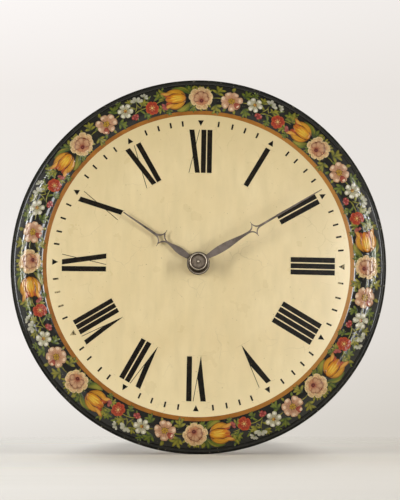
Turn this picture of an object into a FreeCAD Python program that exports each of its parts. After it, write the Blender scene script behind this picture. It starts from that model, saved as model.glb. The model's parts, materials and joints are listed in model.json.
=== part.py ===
import FreeCAD, Part
import math
import os

# Painted wooden shield clock with a wooden-framed, weight-driven, time-only movement.
# Millimetres. X is right as seen from the front, Z is up, the dial faces -Y and the wall is y = 0.
# The model is laid out about the hand axis and moved to the hanging hole when it is written.

# Fits and gaps, and how far a cutting shape runs past what it cuts
running_gap = 0.05
motion_gap = 0.3
panel_gap = 0.4
overrun = 1.0

# Shield
shield_radius = 150.0
cream_radius = 120.8
ochre_ring_width = 3.3
dome_thickness = 16.0
dome_halfway_share = 0.75
dial_edge_thickness = 11.0
border_foot_thickness = 10.6
border_thickness = 12.6
edge_bead_width = 4.0
edge_bead_thickness = 8.0
edge_bead_top_share = 0.45
edge_groove_depth = 0.6
edge_side_height = 6.0
back_chamfer = 2.5
shield_hole_radius = 5.4

# Wooden case
case_depth = 110.0
case_half_width = 66.0
board_thickness = 12.0
anchor_headroom = 9.7
wheel_floor_room = 6.7
back_board_thickness = 6.0
post_side = 10.0
batten_half_length = 60.0
batten_side = 12.0
shield_pin_radius = 2.0
shield_pin_spread = 40.0
shield_pin_grip = 8.0
shield_pin_head = 4.0
chain_hole_radius = 4.0
nail_radius = 0.9
nail_head_radius = 2.2
nail_head_thickness = 0.8
nail_length = 14.0
nail_end_inset = 16.0

# Side doors
door_thickness = 6.0
door_end_gap = 0.6
door_back_gap = 4.0
door_shield_gap = 3.0
hinge_pin_radius = 1.0
hinge_pin_length = 18.0
hinge_pin_grip = 8.0
door_knob_radius = 4.0
door_knob_end_radius = 2.8
door_knob_neck_radius = 1.8
door_knob_length = 9.0
door_knob_neck_out = 3.15
door_knob_widest_out = 5.85
door_knob_inset = 12.0
door_knob_tenon_radius = 1.5

# Hanging plate
hanger_thickness = 2.0
hanger_half_width = 10.0
hanger_hole_radius = 4.0
hanger_hole_rise = 14.0
hanger_screw_spread = 5.5
hanger_screw_radius = 1.4
hanger_screw_head_radius = 2.8
hanger_screw_length = 16.0
hanger_screw_slot_width = 0.7
hanger_screw_slot_depth = 0.6

# Movement strips and their places in depth
strip_half_width = 17.0
motion_room = 16.0
front_strip_thickness = 10.0
back_strip_thickness = 8.0
back_strip_gap = 26.0
bush_wall = 1.8

# Going train
great_teeth = 72
second_teeth = 72
escape_teeth = 30
lantern_pins = 6
great_module = 0.9
second_module = 0.8
train_tooth_share = 0.53
train_tip_width = 0.4
train_addendum_share = 1.0
train_dedendum_share = 0.95
great_wheel_thickness = 2.0
great_wheel_gap = 6.0
great_web_radius = 22.0
second_wheel_thickness = 1.6
second_wheel_gap = 15.0
wheel_rim_width = 3.0
wheel_hub_radius = 6.0
wheel_arm_width = 3.2
wheel_arms = 4
wheel_arm_turn = 45.0
great_arm_width = 5.12
lantern_pin_radius = 0.41
lantern_length = 8.0
lantern_flange_thickness = 1.6
lantern_flange_rim = 1.3
great_arbor_radius = 2.6
drive_arbor_radius = 2.0
great_pivot_radius = 1.5
second_arbor_radius = 1.3
second_pivot_radius = 0.8
escape_arbor_radius = 1.1
escape_pivot_radius = 0.6
pivot_end_gap = 0.5
pivot_inset = 1.0
great_arbor_shoulder = 1.0
arbor_step = 0.7

# Chain sprocket with its ratchet, click and spring
ratchet_teeth = 12
ratchet_radius = 10.5
ratchet_root_radius = 8.3
ratchet_tooth_lean = 0.0
ratchet_tip_share = 0.04
ratchet_thickness = 2.0
ratchet_gap = 0.5
sprocket_width = 10.5
sprocket_flange_radius = 10.0
sprocket_groove_radius = 6.0
sprocket_flange_thickness = 1.5
sprocket_spikes = 6
sprocket_spike_radius = 0.7
sprocket_spike_tip_radius = 0.28
sprocket_spike_height = 2.2
sprocket_spike_root = 1.0
sprocket_collar_thickness = 2.0
sprocket_collar_radius = 4.2
click_side = -130.0
click_pivot_out = 12.2
click_pivot_back = 11.0
click_pivot_radius = 1.0
click_boss_radius = 2.6
click_arm_width = 2.7
click_knee_inset = 0.1
click_knee_width = 2.97
click_root_half_width = 2.08
click_screw_head_radius = 2.2
click_screw_head_height = 0.8
click_spring_width = 0.5
click_spring_thickness = 1.4
click_spring_gap = 0.3
click_spring_foot_radius = 2.0
click_spring_length = 14.0
click_spring_bend = 1.5
click_spring_overlap = 3.38
click_nose_gap = 0.6

# Escapement
escape_radius = 17.0
escape_root_depth = 3.2
escape_wheel_thickness = 1.5
escape_wheel_gap = 17.0
escape_rim_width = 2.2
escape_tooth_lean = 0.28
escape_tip_share = 0.06
escape_hub_radius = 4.2
escape_arm_width = 1.92
anchor_half_span = 45.0
anchor_tip_clearance = 1.05
anchor_strip_thickness = 2.0
anchor_strip_rise = 3.0
anchor_width = 5.0
anchor_overhang = 6.0
anchor_pallet_width = 2.5
anchor_hub_radius = 3.2
anchor_neck_half_width = 2.6
anchor_pallet_root = 0.5
anchor_arbor_radius = 1.8
anchor_pivot_radius = 0.7
crutch_arbor_radius = 1.2

# Pendulum, its crutch and its suspension
gravity = 9810.0
swing_angle = 3.0
pendulum_depth = 16.0
pendulum_rod_radius = 0.6
pendulum_eye_thickness = 1.0
pendulum_slot_room = 2.0
suspension_pin_radius = 0.8
suspension_plate_thickness = 1.5
suspension_plate_half_width = 3.0
suspension_flange_length = 14.0
suspension_pin_head_radius = 1.6
suspension_pin_head_thickness = 0.6
cock_screw_radius = 0.8
cock_screw_head_radius = 1.6
cock_screw_head_height = 1.0
cock_screw_length = 9.0
suspension_pin_reach = 2.0
bob_radius = 22.0
bob_half_thickness = 4.0
bob_edge_half_thickness = 0.8
rating_nut_radius = 4.5
rating_nut_height = 3.4
rating_nut_knurls = 16
rating_nut_knurl_radius = 0.3
rod_end_length = 8.0
crutch_thickness = 1.0
crutch_half_width = 1.25
crutch_length = 26.0
crutch_hub_radius = 3.0
crutch_hub_length = 2.5
crutch_strip_gap = 2.0
crutch_fork_gap = 0.15
crutch_fork_height = 3.0
crutch_tine_reach = 1.8

# Motion work between the front strip and the shield
drive_teeth = 25
cannon_teeth = 25
drive_module = 0.8
cannon_pinion_teeth = 10
minute_wheel_teeth = 40
minute_module = 0.6
minute_pinion_teeth = 12
hour_wheel_teeth = 36
minute_wheel_angle = 36.87
motion_backlash = 0.15
motion_pinion_relief = 0.06
motion_addendum_share = 0.7
motion_pinion_addendum_share = 0.56
motion_tip_width = 0.25
motion_wheel_thickness = 2.0
drive_wheel_gap = 1.5
minute_wheel_gap = 5.5
hour_wheel_gap = 9.5
motion_hub_radius = 2.6
minute_hub_length = 0.7
minute_pinion_overlap = 1.0
minute_stud_head_thickness = 1.0
minute_stud_collar_radius = 2.4
minute_stud_grip = 6.0
minute_stud_radius = 1.5
drive_spring_radius = 5.5
drive_spring_thickness = 0.3
drive_spring_rise = 0.6
drive_collar_radius = 3.0
drive_collar_thickness = 1.0

# Hands and what carries them
minute_arbor_radius = 2.0
minute_arbor_collar_radius = 3.2
minute_arbor_collar_length = 2.0
arbor_tip_radius = 1.5
hour_pipe_wall = 1.1
hour_hand_gap = 2.5
hour_hand_thickness = 1.2
hour_boss_radius = 9.1
hour_boss_height = 2.5
hour_boss_step_radius = 7.4
hour_boss_step_height = 0.8
minute_hand_rise = 11.0
minute_hand_thickness = 1.0
collet_radius = 6.8
collet_rim_width = 0.9
collet_height = 5.0
collet_dish_depth = 1.5
collet_neck_radius = 3.0
collet_shoulder_radius = 3.6
arbor_tip_height = 1.9
collet_dish_slope = 0.9
edge_bevel = 0.4

# Shapes of the two hands: distances from the hand axis and half widths
hand_root_share = 0.9
window_corner_share = 1.6
blade_rise_points = 4
blade_fall_points = 6
hour_hand_angle = 304.5
hour_hand_shape = {
    "length": 72.0,
    "hub": 6.0,
    "root": 0.9,
    "blade": 2.75,
    "blade_at": 17.5,
    "neck": 0.8,
    "star_at": 35.4,
    "star_half_length": 5.6,
    "spur": 7.7,
    "spur_tip": 0.25,
    "waist": 3.2,
    "bar": 1.1,
    "needle": 1.0,
    "tip": 0.4,
}
minute_hand_angle = 59.4
minute_hand_shape = {
    "length": 112.8,
    "hub": 5.0,
    "root": 1.0,
    "blade": 3.0,
    "blade_at": 21.5,
    "neck": 0.9,
    "star_at": 51.2,
    "star_half_length": 5.2,
    "spur": 6.6,
    "spur_tip": 0.2,
    "waist": 2.9,
    "bar": 1.0,
    "needle": 0.9,
    "tip": 0.35,
}

# Places that follow from the sizes above
great_z = -(drive_teeth + cannon_teeth) * drive_module / 2
second_z = great_z + (great_teeth + lantern_pins) * great_module / 2
escape_z = second_z + (second_teeth + lantern_pins) * second_module / 2
anchor_z = escape_z + escape_radius / math.cos(math.radians(anchor_half_span))
motion_distance = (cannon_pinion_teeth + minute_wheel_teeth) * minute_module / 2
hour_module = 2 * motion_distance / (minute_pinion_teeth + hour_wheel_teeth)
minute_wheel_x = motion_distance * math.cos(math.radians(minute_wheel_angle))
minute_wheel_z = motion_distance * math.sin(math.radians(minute_wheel_angle))

beats_per_hour = 2 * escape_teeth * great_teeth * second_teeth / lantern_pins**2
beat_seconds = 3600.0 / beats_per_hour
pendulum_length = gravity * (beat_seconds / math.pi) ** 2
bob_z = anchor_z - pendulum_length

great_tip_radius = great_module * (great_teeth / 2 + train_addendum_share)
case_top = anchor_z + anchor_headroom
case_bottom = great_z - great_tip_radius - wheel_floor_room
top_face = case_top + board_thickness
bottom_face = case_bottom - board_thickness
hanger_z = top_face + hanger_hole_rise

shield_back = -case_depth
dome_front = shield_back - dome_thickness
front_strip_front = shield_back + motion_room
front_strip_back = front_strip_front + front_strip_thickness
back_strip_back = -back_strip_gap
back_strip_front = back_strip_back - back_strip_thickness
great_wheel_front = front_strip_back + great_wheel_gap
great_wheel_back = great_wheel_front + great_wheel_thickness
ratchet_front = great_wheel_back + ratchet_gap
ratchet_back = ratchet_front + ratchet_thickness
sprocket_back = ratchet_back + sprocket_width
escape_wheel_front = front_strip_back + escape_wheel_gap
escape_wheel_back = escape_wheel_front + escape_wheel_thickness
second_wheel_back = back_strip_front - second_wheel_gap
second_wheel_front = second_wheel_back - second_wheel_thickness
chain_y = (ratchet_back + sprocket_back) / 2
pendulum_y = -pendulum_depth

drive_wheel_back = front_strip_front - drive_wheel_gap
drive_wheel_front = drive_wheel_back - motion_wheel_thickness
minute_wheel_back = front_strip_front - minute_wheel_gap
minute_wheel_front = minute_wheel_back - motion_wheel_thickness
hour_wheel_back = front_strip_front - hour_wheel_gap
hour_wheel_front = hour_wheel_back - motion_wheel_thickness
minute_pinion_front = hour_wheel_front - minute_pinion_overlap

hour_pipe_bore = minute_arbor_radius + running_gap
hour_pipe_radius = hour_pipe_bore + hour_pipe_wall
hour_hand_back = dome_front - hour_hand_gap
hour_hand_front = hour_hand_back - hour_hand_thickness
hour_boss_front = hour_hand_front - hour_boss_height
minute_hand_back = hour_hand_front - minute_hand_rise
minute_hand_front = minute_hand_back - minute_hand_thickness
collet_front = minute_hand_front - collet_height
collet_back = hour_boss_front - pivot_end_gap

door_half_gap = case_half_width - door_thickness - panel_gap
hinge_x = case_half_width - door_thickness / 2
hinge_y = -(back_board_thickness + door_back_gap + door_thickness / 2)
post_x = door_half_gap - post_side / 2


def box(x0, x1, y0, y1, z0, z1):
    corner = FreeCAD.Vector(min(x0, x1), min(y0, y1), min(z0, z1))
    return Part.makeBox(abs(x1 - x0), abs(y1 - y0), abs(z1 - z0), corner)


def rod(x, z, radius, y0, y1):
    """A round bar along Y."""
    start = FreeCAD.Vector(x, min(y0, y1), z)
    return Part.makeCylinder(radius, abs(y1 - y0), start, FreeCAD.Vector(0, 1, 0))


def upright(x, y, radius, z0, z1):
    """A round bar along Z."""
    start = FreeCAD.Vector(x, y, min(z0, z1))
    return Part.makeCylinder(radius, abs(z1 - z0), start)


def turned(x, z, profile):
    """A body turned about the line along Y through x, z, from a closed list of (radius, y)."""
    points = [FreeCAD.Vector(x + radius, y, z) for radius, y in profile]
    wire = Part.makePolygon(points + points[:1])
    return Part.Face(wire).revolve(FreeCAD.Vector(x, 0, z), FreeCAD.Vector(0, 1, 0), 360)


def polar(x, z, radius, angle):
    """A point on the plane y = 0, with its angle in radians counter-clockwise as seen from the front."""
    return FreeCAD.Vector(x + radius * math.cos(angle), 0, z + radius * math.sin(angle))


def thick(face_or_wire, y0, y1):
    """A flat outline on y = 0 made into a plate from y0 to y1."""
    face = face_or_wire if face_or_wire.ShapeType == "Face" else Part.Face(face_or_wire)
    face.translate(FreeCAD.Vector(0, min(y0, y1), 0))
    return face.extrude(FreeCAD.Vector(0, abs(y1 - y0), 0))


def line(start, end):
    return Part.LineSegment(start, end).toShape()


def arc(start, middle, end):
    return Part.Arc(start, middle, end).toShape()


def fused(solids):
    """Several touching solids as one."""
    whole = solids[0]
    for other in solids[1:]:
        whole = whole.fuse(other)
    return whole.removeSplitter()


def repeated_teeth(count, phase, step, one_tooth):
    """A closed outline of equal teeth; one_tooth(angle) gives the edges of the tooth at an angle."""
    edges = []
    for index in range(count):
        edges += one_tooth(phase + index * step)
    return Part.Wire(edges)


def gear_outline(x, z, teeth, module, tooth_width, tip_width, addendum, dedendum, phase):
    """Teeth with radial flanks below the pitch circle and arched points above it."""
    pitch_radius = teeth * module / 2
    root_radius = pitch_radius - dedendum
    tip_radius = pitch_radius + addendum
    middle_radius = (pitch_radius + tip_radius) / 2
    pitch_half = tooth_width / 2 / pitch_radius
    middle_width = tooth_width - (tooth_width - tip_width) / 4
    middle_half = middle_width / 2 / middle_radius
    tip_half = tip_width / 2 / tip_radius
    step = 2 * math.pi / teeth

    def one_tooth(angle):
        root_start = polar(x, z, root_radius, angle - pitch_half)
        flank_start = polar(x, z, pitch_radius, angle - pitch_half)
        arch_start = polar(x, z, middle_radius, angle - middle_half)
        tip_start = polar(x, z, tip_radius, angle - tip_half)
        tip_end = polar(x, z, tip_radius, angle + tip_half)
        arch_end = polar(x, z, middle_radius, angle + middle_half)
        flank_end = polar(x, z, pitch_radius, angle + pitch_half)
        root_end = polar(x, z, root_radius, angle + pitch_half)
        next_root = polar(x, z, root_radius, angle + step - pitch_half)
        return [
            line(root_start, flank_start),
            arc(flank_start, arch_start, tip_start),
            line(tip_start, tip_end),
            arc(tip_end, arch_end, flank_end),
            line(flank_end, root_end),
            line(root_end, next_root),
        ]

    return repeated_teeth(teeth, phase, step, one_tooth)


def saw_outline(x, z, teeth, tip_radius, root_radius, lean, tip_share, phase):
    """Pointed teeth: one side near radial, the other a long slope back to the root."""
    step = 2 * math.pi / teeth

    def one_tooth(angle):
        foot = polar(x, z, root_radius, angle + lean * step)
        tip = polar(x, z, tip_radius, angle)
        shoulder = polar(x, z, tip_radius, angle - tip_share * step)
        next_foot = polar(x, z, root_radius, angle - (1 - lean) * step)
        return [line(foot, tip), line(tip, shoulder), line(shoulder, next_foot)]

    return repeated_teeth(teeth, phase, -step, one_tooth)


def crossings(x, z, outer_radius, inner_radius, arm_width, arms, y0, y1):
    """What is sawn out of a wheel between its arms."""
    ring = rod(x, z, outer_radius, y0, y1).cut(rod(x, z, inner_radius, y0, y1))
    for index in range(arms):
        arm = box(x, x + outer_radius + overrun, y0, y1, z - arm_width / 2, z + arm_width / 2)
        turn = wheel_arm_turn + index * 360.0 / arms
        arm.rotate(FreeCAD.Vector(x, 0, z), FreeCAD.Vector(0, 1, 0), turn)
        ring = ring.cut(arm)
    return ring


def lantern(x, z, pin_circle, phase, y0, y1, bore):
    """A lantern pinion: two round cheeks joined by pins, bored for its arbor."""
    flange_radius = pin_circle + lantern_flange_rim
    parts = [
        rod(x, z, flange_radius, y0, y0 + lantern_flange_thickness),
        rod(x, z, flange_radius, y1 - lantern_flange_thickness, y1),
    ]
    for index in range(lantern_pins):
        place = polar(x, z, pin_circle, phase + index * 2 * math.pi / lantern_pins)
        parts.append(rod(place.x, place.z, lantern_pin_radius, y0, y1))
    return fused(parts).cut(rod(x, z, bore, y0 - overrun, y1 + overrun))


def save(node, *solids):
    """Write one node, moved so that the origin is the hanging hole."""
    shape = solids[0] if len(solids) == 1 else Part.makeCompound(list(solids))
    shape = shape.copy()
    shape.translate(FreeCAD.Vector(0, 0, -hanger_z))
    shape.exportStep("parts/" + node + ".step")


def make_shield():
    """A turned board: gently domed dial, arched border, small bead round the edge."""
    border_radius = cream_radius + ochre_ring_width
    groove_radius = shield_radius - edge_bead_width
    groove_y = shield_back - edge_bead_thickness + edge_groove_depth
    border_middle = (border_radius + groove_radius) / 2
    dome_rise = dome_thickness - dial_edge_thickness
    dome_middle_y = shield_back - dial_edge_thickness - dome_halfway_share * dome_rise

    def at(radius, y):
        return FreeCAD.Vector(radius, y, 0)

    axis_back = at(0, shield_back)
    axis_front = at(0, dome_front)
    dial_edge = at(cream_radius, shield_back - dial_edge_thickness)
    border_foot = at(border_radius, shield_back - border_foot_thickness)
    border_top = at(border_middle, shield_back - border_thickness)
    groove = at(groove_radius, groove_y)
    bead_radius = groove_radius + edge_bead_width * edge_bead_top_share
    bead_top = at(bead_radius, shield_back - edge_bead_thickness)
    side_front = at(shield_radius, shield_back - edge_side_height)
    side_back = at(shield_radius, shield_back - back_chamfer)
    rim_back = at(shield_radius - back_chamfer, shield_back)
    edges = [
        line(axis_back, axis_front),
        arc(axis_front, at(cream_radius / 2, dome_middle_y), dial_edge),
        line(dial_edge, border_foot),
        arc(border_foot, border_top, groove),
        arc(groove, bead_top, side_front),
        line(side_front, side_back),
        line(side_back, rim_back),
        line(rim_back, axis_back),
    ]
    face = Part.Face(Part.Wire(edges))
    board = face.revolve(FreeCAD.Vector(0, 0, 0), FreeCAD.Vector(0, 1, 0), 360)
    hole = rod(0, 0, shield_hole_radius, dome_front - overrun, shield_back + overrun)
    save("shield", board.cut(hole))


def shield_pin_places():
    return [-shield_pin_spread, shield_pin_spread]


def make_battens():
    """Two battens glued to the shield's back, pegged down to the case's boards."""
    batten_back = shield_back + batten_side
    peg_y = shield_back + batten_side / 2
    upper = box(
        -batten_half_length,
        batten_half_length,
        shield_back,
        batten_back,
        top_face,
        top_face + batten_side,
    )
    lower = box(
        -batten_half_length,
        batten_half_length,
        shield_back,
        batten_back,
        bottom_face - batten_side,
        bottom_face,
    )
    pegs = []
    for x in shield_pin_places():
        upper_peg = upright(
            x,
            peg_y,
            shield_pin_radius,
            top_face - shield_pin_grip,
            top_face + batten_side + shield_pin_head,
        )
        lower_peg = upright(
            x,
            peg_y,
            shield_pin_radius,
            bottom_face - batten_side - shield_pin_head,
            bottom_face + shield_pin_grip,
        )
        upper = upper.cut(upper_peg)
        lower = lower.cut(lower_peg)
        pegs += [upper_peg, lower_peg]
    save("upper_batten", upper)
    save("lower_batten", lower)
    save("shield_pins", *pegs)
    return pegs


def hanger_screw_places():
    height = (case_top + top_face) / 2
    return [(-hanger_screw_spread, height), (hanger_screw_spread, height)]


def hanger_screw(x, z):
    head_depth = hanger_screw_head_radius - hanger_screw_radius
    body = turned(
        x,
        z,
        [
            (0, 0),
            (hanger_screw_head_radius, 0),
            (hanger_screw_radius, -head_depth),
            (hanger_screw_radius, -hanger_screw_length + hanger_screw_radius),
            (0, -hanger_screw_length),
        ],
    )
    return body


def make_hanger():
    """The iron plate that the clock hangs by, let into the back board, with two sunk screws."""
    plate = box(-hanger_half_width, hanger_half_width, -hanger_thickness, 0, case_top, hanger_z)
    plate = fused([plate, rod(0, hanger_z, hanger_half_width, -hanger_thickness, 0)])
    plate = plate.cut(rod(0, hanger_z, hanger_hole_radius, -hanger_thickness - overrun, overrun))
    screws = []
    for x, z in hanger_screw_places():
        screw = hanger_screw(x, z)
        plate = plate.cut(screw)
        slot = box(
            x - hanger_screw_head_radius,
            x + hanger_screw_head_radius,
            -hanger_screw_slot_depth,
            overrun,
            z - hanger_screw_slot_width / 2,
            z + hanger_screw_slot_width / 2,
        )
        screws.append(screw.cut(slot))
    save("hanger_plate", plate)
    save("hanger_screws", *screws)


def hinge_pins(side):
    """The two wire pins that one door turns on, driven in through the top and bottom boards."""
    top_end = case_top + hinge_pin_grip
    bottom_end = case_bottom - hinge_pin_grip
    return [
        upright(side * hinge_x, hinge_y, hinge_pin_radius, top_end - hinge_pin_length, top_end),
        upright(side * hinge_x, hinge_y, hinge_pin_radius, bottom_end, bottom_end + hinge_pin_length),
    ]


def pendulum_slot():
    """The opening in the bottom board that the pendulum rod swings through."""
    reach = (anchor_z - bottom_face) * math.tan(math.radians(swing_angle))
    half_length = reach + pendulum_rod_radius + pendulum_slot_room
    half_width = pendulum_rod_radius + pendulum_slot_room
    return box(
        -half_length,
        half_length,
        pendulum_y - half_width,
        pendulum_y + half_width,
        bottom_face - overrun,
        case_bottom + overrun,
    )


def make_case(pegs):
    """Boards, corner posts and back board, with the holes for all that passes through them."""
    shield_side = shield_back
    board_back = -back_board_thickness
    top = box(-case_half_width, case_half_width, shield_side, board_back, case_top, top_face)
    bottom = box(-case_half_width, case_half_width, shield_side, board_back, bottom_face, case_bottom)
    back = box(-case_half_width, case_half_width, board_back, 0, bottom_face, top_face)
    half = hanger_half_width
    rebate = box(-half, half, -hanger_thickness, overrun, case_top, top_face + overrun)
    back = back.cut(rebate)
    for x, z in hanger_screw_places():
        screw = hanger_screw(x, z)
        back = back.cut(screw)
        top = top.cut(screw)
    top = top.cut(cock_screw_shank())
    for peg in pegs:
        top = top.cut(peg)
        bottom = bottom.cut(peg)
    for side in (-1, 1):
        upper_pin, lower_pin = hinge_pins(side)
        top = top.cut(upper_pin)
        bottom = bottom.cut(lower_pin)
        chain_x = side * (sprocket_groove_radius + chain_hole_radius)
        low = bottom_face - overrun
        high = case_bottom + overrun
        chain_hole = upright(chain_x, chain_y, chain_hole_radius, low, high)
        bottom = bottom.cut(chain_hole)
    bottom = bottom.cut(pendulum_slot())
    save("top_board", top)
    save("bottom_board", bottom)

    nails = []
    rear_posts = {}
    for name, side in (("left", -1), ("right", 1)):
        x0 = side * post_x - post_side / 2
        x1 = side * post_x + post_side / 2
        front_post = box(x0, x1, shield_side, shield_side + post_side, case_bottom, case_top)
        save("front_" + name + "_post", front_post)
        rear_posts[name] = box(x0, x1, board_back - post_side, board_back, case_bottom, case_top)
        middle = (case_bottom + case_top) / 2
        for z in (case_bottom + nail_end_inset, middle, case_top - nail_end_inset):
            nail = turned(
                side * post_x,
                z,
                [
                    (0, 0),
                    (nail_head_radius, 0),
                    (nail_head_radius, -nail_head_thickness),
                    (nail_radius, -nail_head_thickness),
                    (nail_radius, -nail_length + 2 * nail_radius),
                    (0, -nail_length),
                ],
            )
            back = back.cut(nail)
            rear_posts[name] = rear_posts[name].cut(nail)
            nails.append(nail)
    for name, post in rear_posts.items():
        save("rear_" + name + "_post", post)
    save("back_board", back)
    save("back_board_nails", *nails)


def make_doors():
    """A plain board door on each side, turning on wire pins, with a small turned knob."""
    low = case_bottom + door_end_gap
    high = case_top - door_end_gap
    door_front = shield_back + door_shield_gap
    for name, side in (("left", -1), ("right", 1)):
        x0 = side * (case_half_width - door_thickness)
        x1 = side * case_half_width
        panel = box(x0, x1, door_front, hinge_y, low, high)
        door = fused([panel, upright(side * hinge_x, hinge_y, door_thickness / 2, low, high)])
        for pin in hinge_pins(side):
            bound = pin.BoundBox
            bore = upright(
                side * hinge_x,
                hinge_y,
                hinge_pin_radius + running_gap,
                bound.ZMin - motion_gap,
                bound.ZMax + motion_gap,
            )
            door = door.cut(bore)
        knob_y = door_front + door_knob_inset
        knob_z = (low + high) / 2
        face = case_half_width
        profile = [
            (0, face - door_thickness / 2),
            (door_knob_tenon_radius, face - door_thickness / 2),
            (door_knob_tenon_radius, face),
            (door_knob_end_radius, face),
            (door_knob_neck_radius, face + door_knob_neck_out),
            (door_knob_radius, face + door_knob_widest_out),
            (door_knob_end_radius, face + door_knob_length),
            (0, face + door_knob_length),
        ]
        points = [FreeCAD.Vector(side * x, knob_y + radius, knob_z) for radius, x in profile]
        outline = Part.Face(Part.makePolygon(points + points[:1]))
        knob = outline.revolve(FreeCAD.Vector(0, knob_y, knob_z), FreeCAD.Vector(1, 0, 0), 360)
        save(name + "_door", door.cut(knob))
        save(name + "_door_knob", knob)
        save(name + "_door_pins", *hinge_pins(side))


def make_strips():
    """The two wooden strips that hold the brass bushes, which the pivots run in."""
    front_holes = [
        (0, 0, minute_arbor_radius),
        (0, great_z, drive_arbor_radius),
        (0, second_z, second_pivot_radius),
        (0, escape_z, escape_pivot_radius),
        (0, anchor_z, anchor_pivot_radius),
    ]
    back_holes = [
        (0, great_z, great_pivot_radius),
        (0, second_z, second_pivot_radius),
        (0, escape_z, escape_pivot_radius),
        (0, anchor_z, crutch_arbor_radius),
    ]
    for name, y0, y1, holes in (
        ("front", front_strip_front, front_strip_back, front_holes),
        ("back", back_strip_front, back_strip_back, back_holes),
    ):
        strip = box(-strip_half_width, strip_half_width, y0, y1, case_bottom, case_top)
        bushes = []
        for x, z, radius in holes:
            plug = rod(x, z, radius + running_gap + bush_wall, y0, y1)
            strip = strip.cut(plug)
            bushes.append(plug.cut(rod(x, z, radius + running_gap, y0 - overrun, y1 + overrun)))
        if name == "front":
            strip = strip.cut(minute_stud())
        save(name + "_strip", strip)
        save(name + "_bushes", *bushes)


def minute_stud():
    """The stud that the minute wheel turns on, with a shoulder and a head, driven into the front strip."""
    grip = front_strip_front + minute_stud_grip
    shoulder = minute_wheel_back + minute_hub_length + motion_gap
    head_back = minute_pinion_front - motion_gap
    profile = [
        (0, grip),
        (minute_stud_radius, grip),
        (minute_stud_radius, front_strip_front),
        (minute_stud_collar_radius, front_strip_front),
        (minute_stud_collar_radius, shoulder),
        (minute_stud_radius, shoulder),
        (minute_stud_radius, head_back),
        (minute_stud_collar_radius, head_back),
        (minute_stud_collar_radius, head_back - minute_stud_head_thickness),
        (0, head_back - minute_stud_head_thickness),
    ]
    return turned(minute_wheel_x, minute_wheel_z, profile)


def make_great_wheel():
    """Great arbor and wheel: one turn an hour, toothed to the second lantern pinion above it."""
    drive_collar_back = drive_wheel_front - motion_gap - drive_spring_rise - drive_spring_thickness
    front_end = drive_collar_back - drive_collar_thickness
    collar_front = sprocket_back + motion_gap
    collar_back = collar_front + sprocket_collar_thickness
    profile = [
        (0, front_end),
        (drive_collar_radius, front_end),
        (drive_collar_radius, drive_collar_back),
        (drive_arbor_radius, drive_collar_back),
        (drive_arbor_radius, front_strip_back + pivot_end_gap),
        (great_arbor_radius + great_arbor_shoulder, front_strip_back + pivot_end_gap),
        (great_arbor_radius + great_arbor_shoulder, great_wheel_front),
        (great_arbor_radius, great_wheel_front),
        (great_arbor_radius, collar_front),
        (sprocket_collar_radius, collar_front),
        (sprocket_collar_radius, collar_back),
        (great_arbor_radius, collar_back),
        (great_arbor_radius, back_strip_front - pivot_end_gap),
        (great_pivot_radius, back_strip_front - pivot_end_gap),
        (great_pivot_radius, back_strip_back),
        (0, back_strip_back),
    ]
    save("great_arbor", turned(0, great_z, profile))

    pitch = math.pi * great_module
    outline = gear_outline(
        0,
        great_z,
        great_teeth,
        great_module,
        pitch * train_tooth_share,
        train_tip_width,
        great_module * train_addendum_share,
        great_module * train_dedendum_share,
        math.pi / 2,
    )
    wheel = thick(outline, great_wheel_front, great_wheel_back)
    rim_inside = great_teeth * great_module / 2 - great_module - wheel_rim_width
    openings = crossings(
        0,
        great_z,
        rim_inside,
        great_web_radius,
        great_arm_width,
        wheel_arms,
        great_wheel_front,
        great_wheel_back,
    )
    pivot = click_place(click_pivot_out, click_pivot_back)
    wheel = wheel.cut(openings)
    front = great_wheel_front - overrun
    back = great_wheel_back + overrun
    wheel = wheel.cut(rod(0, great_z, great_arbor_radius, front, back))
    screw_hole = rod(pivot.x, pivot.z, click_pivot_radius, front, back)
    save("great_wheel", wheel.cut(screw_hole))


def click_place(out, along):
    """A point beside the ratchet, in axes through its centre turned to the click's side."""
    turn = math.radians(click_side)
    x = out * math.cos(turn) - along * math.sin(turn)
    z = out * math.sin(turn) + along * math.cos(turn)
    return FreeCAD.Vector(x, 0, great_z + z)


def make_sprocket():
    """The chain sprocket, loose on the great arbor, with the ratchet wheel fixed to its front."""
    bore_radius = great_arbor_radius + running_gap
    bore = rod(0, great_z, bore_radius, ratchet_front - overrun, sprocket_back + overrun)
    groove_front = ratchet_back + sprocket_flange_thickness
    groove_back = sprocket_back - sprocket_flange_thickness
    slope = sprocket_flange_thickness
    drum = turned(
        0,
        great_z,
        [
            (0, ratchet_back),
            (sprocket_flange_radius, ratchet_back),
            (sprocket_flange_radius, groove_front),
            (sprocket_groove_radius, groove_front + slope),
            (sprocket_groove_radius, groove_back - slope),
            (sprocket_flange_radius, groove_back),
            (sprocket_flange_radius, sprocket_back),
            (0, sprocket_back),
        ],
    )
    parts = [drum]
    for index in range(sprocket_spikes):
        angle = index * 2 * math.pi / sprocket_spikes
        outward = FreeCAD.Vector(math.cos(angle), 0, math.sin(angle))
        centre = FreeCAD.Vector(0, chain_y, great_z)
        start = centre + outward * (sprocket_groove_radius - sprocket_spike_root)
        spike = Part.makeCone(
            sprocket_spike_radius,
            sprocket_spike_tip_radius,
            sprocket_spike_height + sprocket_spike_root,
            start,
            outward,
        )
        parts.append(spike)
    save("sprocket", fused(parts).cut(bore))

    phase = math.radians(click_side)
    outline = saw_outline(
        0,
        great_z,
        ratchet_teeth,
        ratchet_radius,
        ratchet_root_radius,
        ratchet_tooth_lean,
        ratchet_tip_share,
        phase,
    )
    ratchet = thick(outline, ratchet_front, ratchet_back)
    save("ratchet_wheel", ratchet.cut(bore))


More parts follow.
